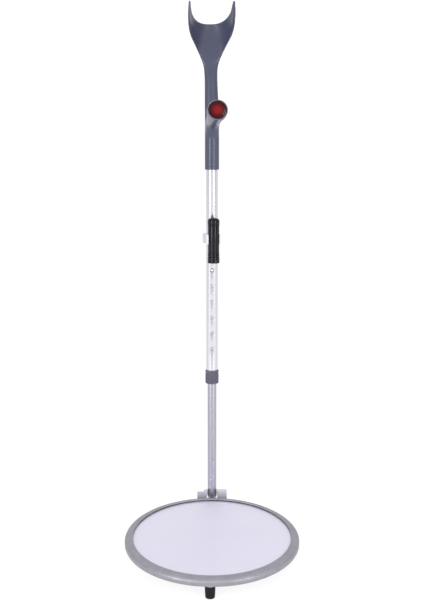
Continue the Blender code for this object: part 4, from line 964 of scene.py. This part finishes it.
def handle():
    """One moulding: the skins are merged, and the joints between grip, web and stem are blended."""
    whole = bmesh.new()
    for skin in (handle_skin(), moved(grip_skin(), HAND.inverted() @ GRIP), elbow_skin()):
        bmesh.ops.recalc_face_normals(skin, faces=skin.faces)
        whole.from_mesh(mesh_of("skin", skin))
    made = piece("handle", moved(whole, HAND), Matrix(), "upper_pole", ["handle_body"], "handle")
    step = made.modifiers.new("Merge", "REMESH")
    step.mode = "VOXEL"
    step.voxel_size = SHELL_VOXEL
    bpy.context.view_layer.update()
    applied(made)
    joint = HAND @ Vector((0, -SLEEVE_RADIUS * 0.6, GRIP_HEIGHT))
    group = made.vertex_groups.new(name="joint")
    for vertex in made.data.vertices:
        near = 1 - min(1.0, (vertex.co - joint).length / BLEND_REACH)
        group.add([vertex.index], near * near * (3 - 2 * near), "REPLACE")
    for name, repeat, where in (("Even", 4, ""), ("Blend", 60, "joint")):
        step = made.modifiers.new(name, "SMOOTH")
        step.factor = 0.5
        step.iterations = repeat
        step.vertex_group = where
    bpy.context.view_layer.update()
    applied(made)
    drilled(made, [
        (HAND @ Matrix.Translation((0, 0, SLEEVE_BASE)), 0.05, -0.02, 0.0),
        (HAND, TUBE_BORE_RADIUS, SLEEVE_BASE - 0.001, SLEEVE_BASE + TUBE_IN_HANDLE),
        (GRIP, 0.04, GRIP_LENGTH, GRIP_LENGTH + 0.02),
        (GRIP, GRIP_BORE_RADIUS, GRIP_LENGTH - GRIP_BORE_DEPTH, GRIP_LENGTH + 0.001),
    ], crease=50)


def reflector():
    """Bezel with a rounded rim, and the domed red reflector inside it."""
    low, high = extent("reflector_bezel", GRIP)
    face, rim_top = GRIP_LENGTH + 0.0003, high.z
    radius, bore, plug = GRIP_END_RADIUS, BEZEL_BORE_RADIUS, BEZEL_PLUG_RADIUS
    seat = face + BEZEL_FLOOR
    profile = [(0, low.z), (plug, low.z), (plug, face), (radius - 0.0003, face), (radius, rim_top - 0.0010)]
    profile += [(radius - 0.0006, rim_top), (bore + 0.0004, rim_top), (bore, seat), (0, seat)]
    shape = turned(softened(profile, 0.0006, 4), 96)
    piece("bezel", shape, GRIP, "upper_pole", ["reflector_bezel"], "handle", "bezel")
    low, high = extent("reflector_lens", GRIP)
    lens = min((high.x - low.x) / 2, bore - LENS_GAP)
    dome = [(lens * k / 10, high.z - LENS_RISE * (k / 10) ** 2.5) for k in range(11)]
    shape = turned(dome + [(lens, low.z), (0, low.z)], 96)
    piece("reflector", shape, GRIP, "upper_pole", ["reflector_lens"], "reflector_red")


# ---------------------------------------------------------------- torch

BARREL_RADIUS = 0.0112
BARREL_BORE = 0.0078
HEAD_BORE = 0.0102
HEAD_THREAD_RADIUS = 0.0099
TAIL_THREAD_RADIUS = 0.0089
SEAL_SEAT_RADIUS = 0.0083
TAIL_BORE = 0.0095
TAIL_HOLE = 0.0053
TAIL_SHOULDER = 0.0060
TAIL_ROOF = 0.0047
HEAD_GROOVE = 0.0009
TAIL_GROOVE = 0.0004
CUP_RADIUS = 0.0050
CUP_FLANGE_RADIUS = 0.0065
CUP_FLANGE = 0.0009
LENS_OPENING = 0.0090
LENS_SEAT_RADIUS = 0.0101
LENS_STEP = 0.0011


def torch():
    """Barrel, grooved head, rounded tail cap, lens ring and rubber button, with soft edges."""
    refined("torch_clip", "clip_white", 0.0005)
    refined("clip_screw", "zinc", 0.0002)
    torch_head()
    torch_barrel()
    torch_tail()
    torch_cup()
    radius, base, top = ring_size("torch_lens_ring", TORCH)
    opening, seat, step = LENS_OPENING, LENS_SEAT_RADIUS, base + LENS_STEP
    profile = [(opening, base), (radius - 0.0004, base), (radius, base + 0.0006), (radius, top)]
    profile += [(seat, top), (seat, step), (opening, step)]
    torch_piece("torch_ring_fine", profile, 0.0003, "torch_lens_ring")


def torch_piece(name, profile, soften, node):
    """One black turned piece of the torch's casing."""
    shape = turned(softened(profile, soften), 96)
    piece(name, shape, TORCH, "torch", [node], "torch_black")


def torch_head():
    """The head, with two grooves round it."""
    radius, base, top = ring_size("torch_head", TORCH)
    height, groove = top - base, HEAD_GROOVE
    profile = [(HEAD_BORE, base), (radius, base)]
    for share in (0.52, 0.80):
        at = base + height * share
        profile += [(radius, at - groove), (radius - groove, at - groove * 0.5)]
        profile += [(radius - groove, at + groove * 0.5), (radius, at + groove)]
    torch_piece("torch_head_fine", profile + [(BARREL_RADIUS, top), (HEAD_BORE, top)], 0.0003, "torch_head")


def torch_barrel():
    """The barrel, with its threaded necks and the seat of the seal."""
    _, base, top = ring_size("torch_barrel", TORCH)
    low_neck, high_neck = base + 0.0025, top - 0.0037
    thread, neck, seal = HEAD_THREAD_RADIUS, TAIL_THREAD_RADIUS, SEAL_SEAT_RADIUS
    profile = [(BARREL_BORE, base), (thread, base), (thread, low_neck), (BARREL_RADIUS, low_neck)]
    profile += [(BARREL_RADIUS, high_neck), (neck, high_neck), (neck, high_neck + 0.0008)]
    profile += [(seal, high_neck + 0.0008), (seal, high_neck + 0.0024), (neck, high_neck + 0.0024)]
    torch_piece("torch_barrel_fine", profile + [(neck, top), (BARREL_BORE, top)], 0.0003, "torch_barrel")


def torch_tail():
    """The tail cap, grooved at its base and rounded to the hole for the button."""
    radius, base, top = ring_size("torch_tail_cap", TORCH)
    shoulder, roof, ring = TAIL_SHOULDER, top - TAIL_ROOF, radius - TAIL_GROOVE
    turns = (math.radians(9 * k) for k in range(11))
    rounding = [(radius - shoulder * (1 - math.cos(a)), top - shoulder * (1 - math.sin(a))) for a in turns]
    profile = [(TAIL_BORE, base), (radius, base), (radius, base + 0.0022), (ring, base + 0.0025)]
    profile += [(ring, base + 0.0031), (radius, base + 0.0034)] + rounding
    profile += [(TAIL_HOLE, top), (TAIL_HOLE, roof), (TAIL_BORE, roof)]
    torch_piece("torch_tail_fine", profile, 0.0002, "torch_tail_cap")


def torch_cup():
    """The rubber button, a flanged cup with a low dome."""
    low, high = extent("torch_button", TORCH)
    seat = low.z + CUP_FLANGE
    profile = [(0, low.z), (CUP_FLANGE_RADIUS, low.z), (CUP_FLANGE_RADIUS, seat), (CUP_RADIUS, seat)]
    shape = turned(profile + domed(CUP_RADIUS, 0.0010, high.z, 10, 9) + [(0, high.z)], 48)
    piece("torch_button_fine", shape, TORCH, "torch_button", ["torch_button"], "rubber", crease=50)


def button_spring():
    """The leaf under the snap button, as a copy of its CAD node that stays where it is."""
    node = frame["nodes"]["button_spring"]
    mesh = node.data.copy()
    mesh.transform(node.matrix_world)
    mesh.materials.clear()
    mesh.materials.append(FINISH["spring_steel"])
    made = linked("button_spring_fine", mesh)
    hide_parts("button_spring")
    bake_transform(made)


# ---------------------------------------------------------------- what stays as it is in the frame

KEPT = {
    "mirror_seal": "rubber", "foam_pad": "foam", "lower_end_plug": "nylon", "tube_glide": "nylon",
    "collar_bush": "nylon", "handle_pin": "zinc", "torch_lens": "torch_clear",
    "torch_reflector": "reflector_chrome", "torch_led_board": "board_green", "torch_led": "led_yellow",
    "torch_o_ring": "rubber", "torch_cell": "cell_wrap", "torch_switch": "nylon",
    "torch_tail_spring": "spring_steel",
}


def kept_nodes():
    """Gives the CAD nodes that are shown as they are their finishes."""
    for node, slot in KEPT.items():
        mesh = frame["nodes"][node].data
        mesh.materials.clear()
        mesh.materials.append(FINISH[slot])


# ---------------------------------------------------------------- camera, floor and light

CAMERA_BACK = 2.149         # from the mirror's middle
CAMERA_RISE = 1.1466        # above the rim's lip
CAMERA_PITCH = math.radians(17.61)
CAMERA_LENS = 76.3
SENSOR = 36.0
FLOOR_HALF = 40
FLOOR_GLOW = 0.84
ROOM_LIGHT = 0.98
ROOM_SIDES = 0.45
ROOM_FRONT = 0.62
STRIP_SPLIT = 0.68          # height at which the strips turn brighter
STRIP_TOP = 2.4
STRIP_BOTTOM = 0.05
STRIP_DISTANCE = 2.6
STRIP_WIDTH = 0.42
STRIPS = (                  # name, azimuth, lower and upper end, radiance
    ("strip_left", -37.0, STRIP_SPLIT, STRIP_TOP, 11.0),
    ("strip_right", 34.0, STRIP_SPLIT, STRIP_TOP, 9.5),
    ("strip_left_low", -37.0, STRIP_BOTTOM, STRIP_SPLIT, 4.2),
    ("strip_right_low", 34.0, STRIP_BOTTOM, STRIP_SPLIT, 3.0),
)


def camera():
    """The camera, in front of the mirror and looking down."""
    data = bpy.data.cameras.new("camera")
    data.sensor_fit = "AUTO"
    data.sensor_width = SENSOR
    data.lens = CAMERA_LENS
    data.clip_end = 100
    made = linked("camera", data)
    made.location = MIRROR_CENTRE + Vector((0, -CAMERA_BACK, LIP_HEIGHT + CAMERA_RISE))
    made.rotation_euler = (math.radians(90) - CAMERA_PITCH, 0, 0)
    bpy.context.scene.camera = made


def floor():
    """A pale floor that glows a little, so that it stays white."""
    mesh = bpy.data.meshes.new("floor")
    half = FLOOR_HALF
    corners = [(-half, -half, 0), (half, -half, 0), (half, half, 0), (-half, half, 0)]
    mesh.from_pydata(corners, [], [(0, 1, 2, 3)])
    made = linked("floor", mesh)
    finish, _, shader = new_material("floor_finish")
    shader.inputs["Base Color"].default_value = (0.24, 0.24, 0.24, 1)
    shader.inputs["Roughness"].default_value = 0.9
    shader.inputs["Specular IOR Level"].default_value = 0.1
    shader.inputs["Emission Color"].default_value = (1, 1, 1, 1)
    shader.inputs["Emission Strength"].default_value = FLOOR_GLOW
    mesh.materials.append(finish)


def strip(name, azimuth, low, high, radiance):
    """An upright soft box facing the pole. Azimuth 0 is on the camera's side, and grows to the right."""
    data = bpy.data.lights.new(name, "AREA")
    data.shape = "RECTANGLE"
    data.size, data.size_y = STRIP_WIDTH, high - low
    data.energy = radiance * math.pi * STRIP_WIDTH * (high - low)
    made = linked(name, data)
    turn = math.radians(azimuth)
    across, ahead = math.sin(turn) * STRIP_DISTANCE, math.cos(turn) * STRIP_DISTANCE
    made.location = (PIVOT.x + across, PIVOT.y - ahead, (low + high) / 2)
    made.rotation_euler = (math.radians(90), 0, turn)


def studio():
    """A bright room, darker low at the sides but pale at the horizon, and two tall soft boxes."""
    world = bpy.data.worlds.new("studio")
    world.use_nodes = True
    bpy.context.scene.world = world
    tree = world.node_tree
    sky = tree.nodes["Background"]
    place = tree.nodes.new("ShaderNodeTexCoord")
    split = tree.nodes.new("ShaderNodeSeparateXYZ")
    tree.links.new(place.outputs["Generated"], split.inputs["Vector"])
    across = tree.nodes.new("ShaderNodeMath")
    across.operation = "ABSOLUTE"
    tree.links.new(split.outputs["X"], across.inputs[0])
    side = spread(tree, across.outputs[0], 0.0, 1.0, 0.55, 0.85)
    above = spread(tree, split.outputs["Z"], 0.0, 1.0, 0.11, 0.15)
    low = spread(tree, split.outputs["Z"], 1.0, 0.0, 0.15, 0.60)
    walls = spread(tree, side, ROOM_LIGHT, ROOM_SIDES, 0.0, 1.0)
    front = spread(tree, split.outputs["Y"], ROOM_FRONT, ROOM_LIGHT, -0.75, 0.10)
    around = tree.nodes.new("ShaderNodeMix")
    tree.links.new(combined(tree, "MINIMUM", low, above), around.inputs["Factor"])
    around.inputs["A"].default_value = ROOM_LIGHT
    tree.links.new(combined(tree, "MINIMUM", walls, front), around.inputs["B"])
    tree.links.new(around.outputs["Result"], sky.inputs["Strength"])
    sky.inputs["Color"].default_value = (0.98, 0.975, 1.0, 1)
    for soft_box in STRIPS:
        strip(*soft_box)
    bpy.context.scene.view_settings.view_transform = "Standard"


# ---------------------------------------------------------------- assembly

camera()
floor()
studio()
rim()
mirror()
pan()
feet()
hinge()
pole()
handle()
reflector()
torch()
button_spring()
kept_nodes()
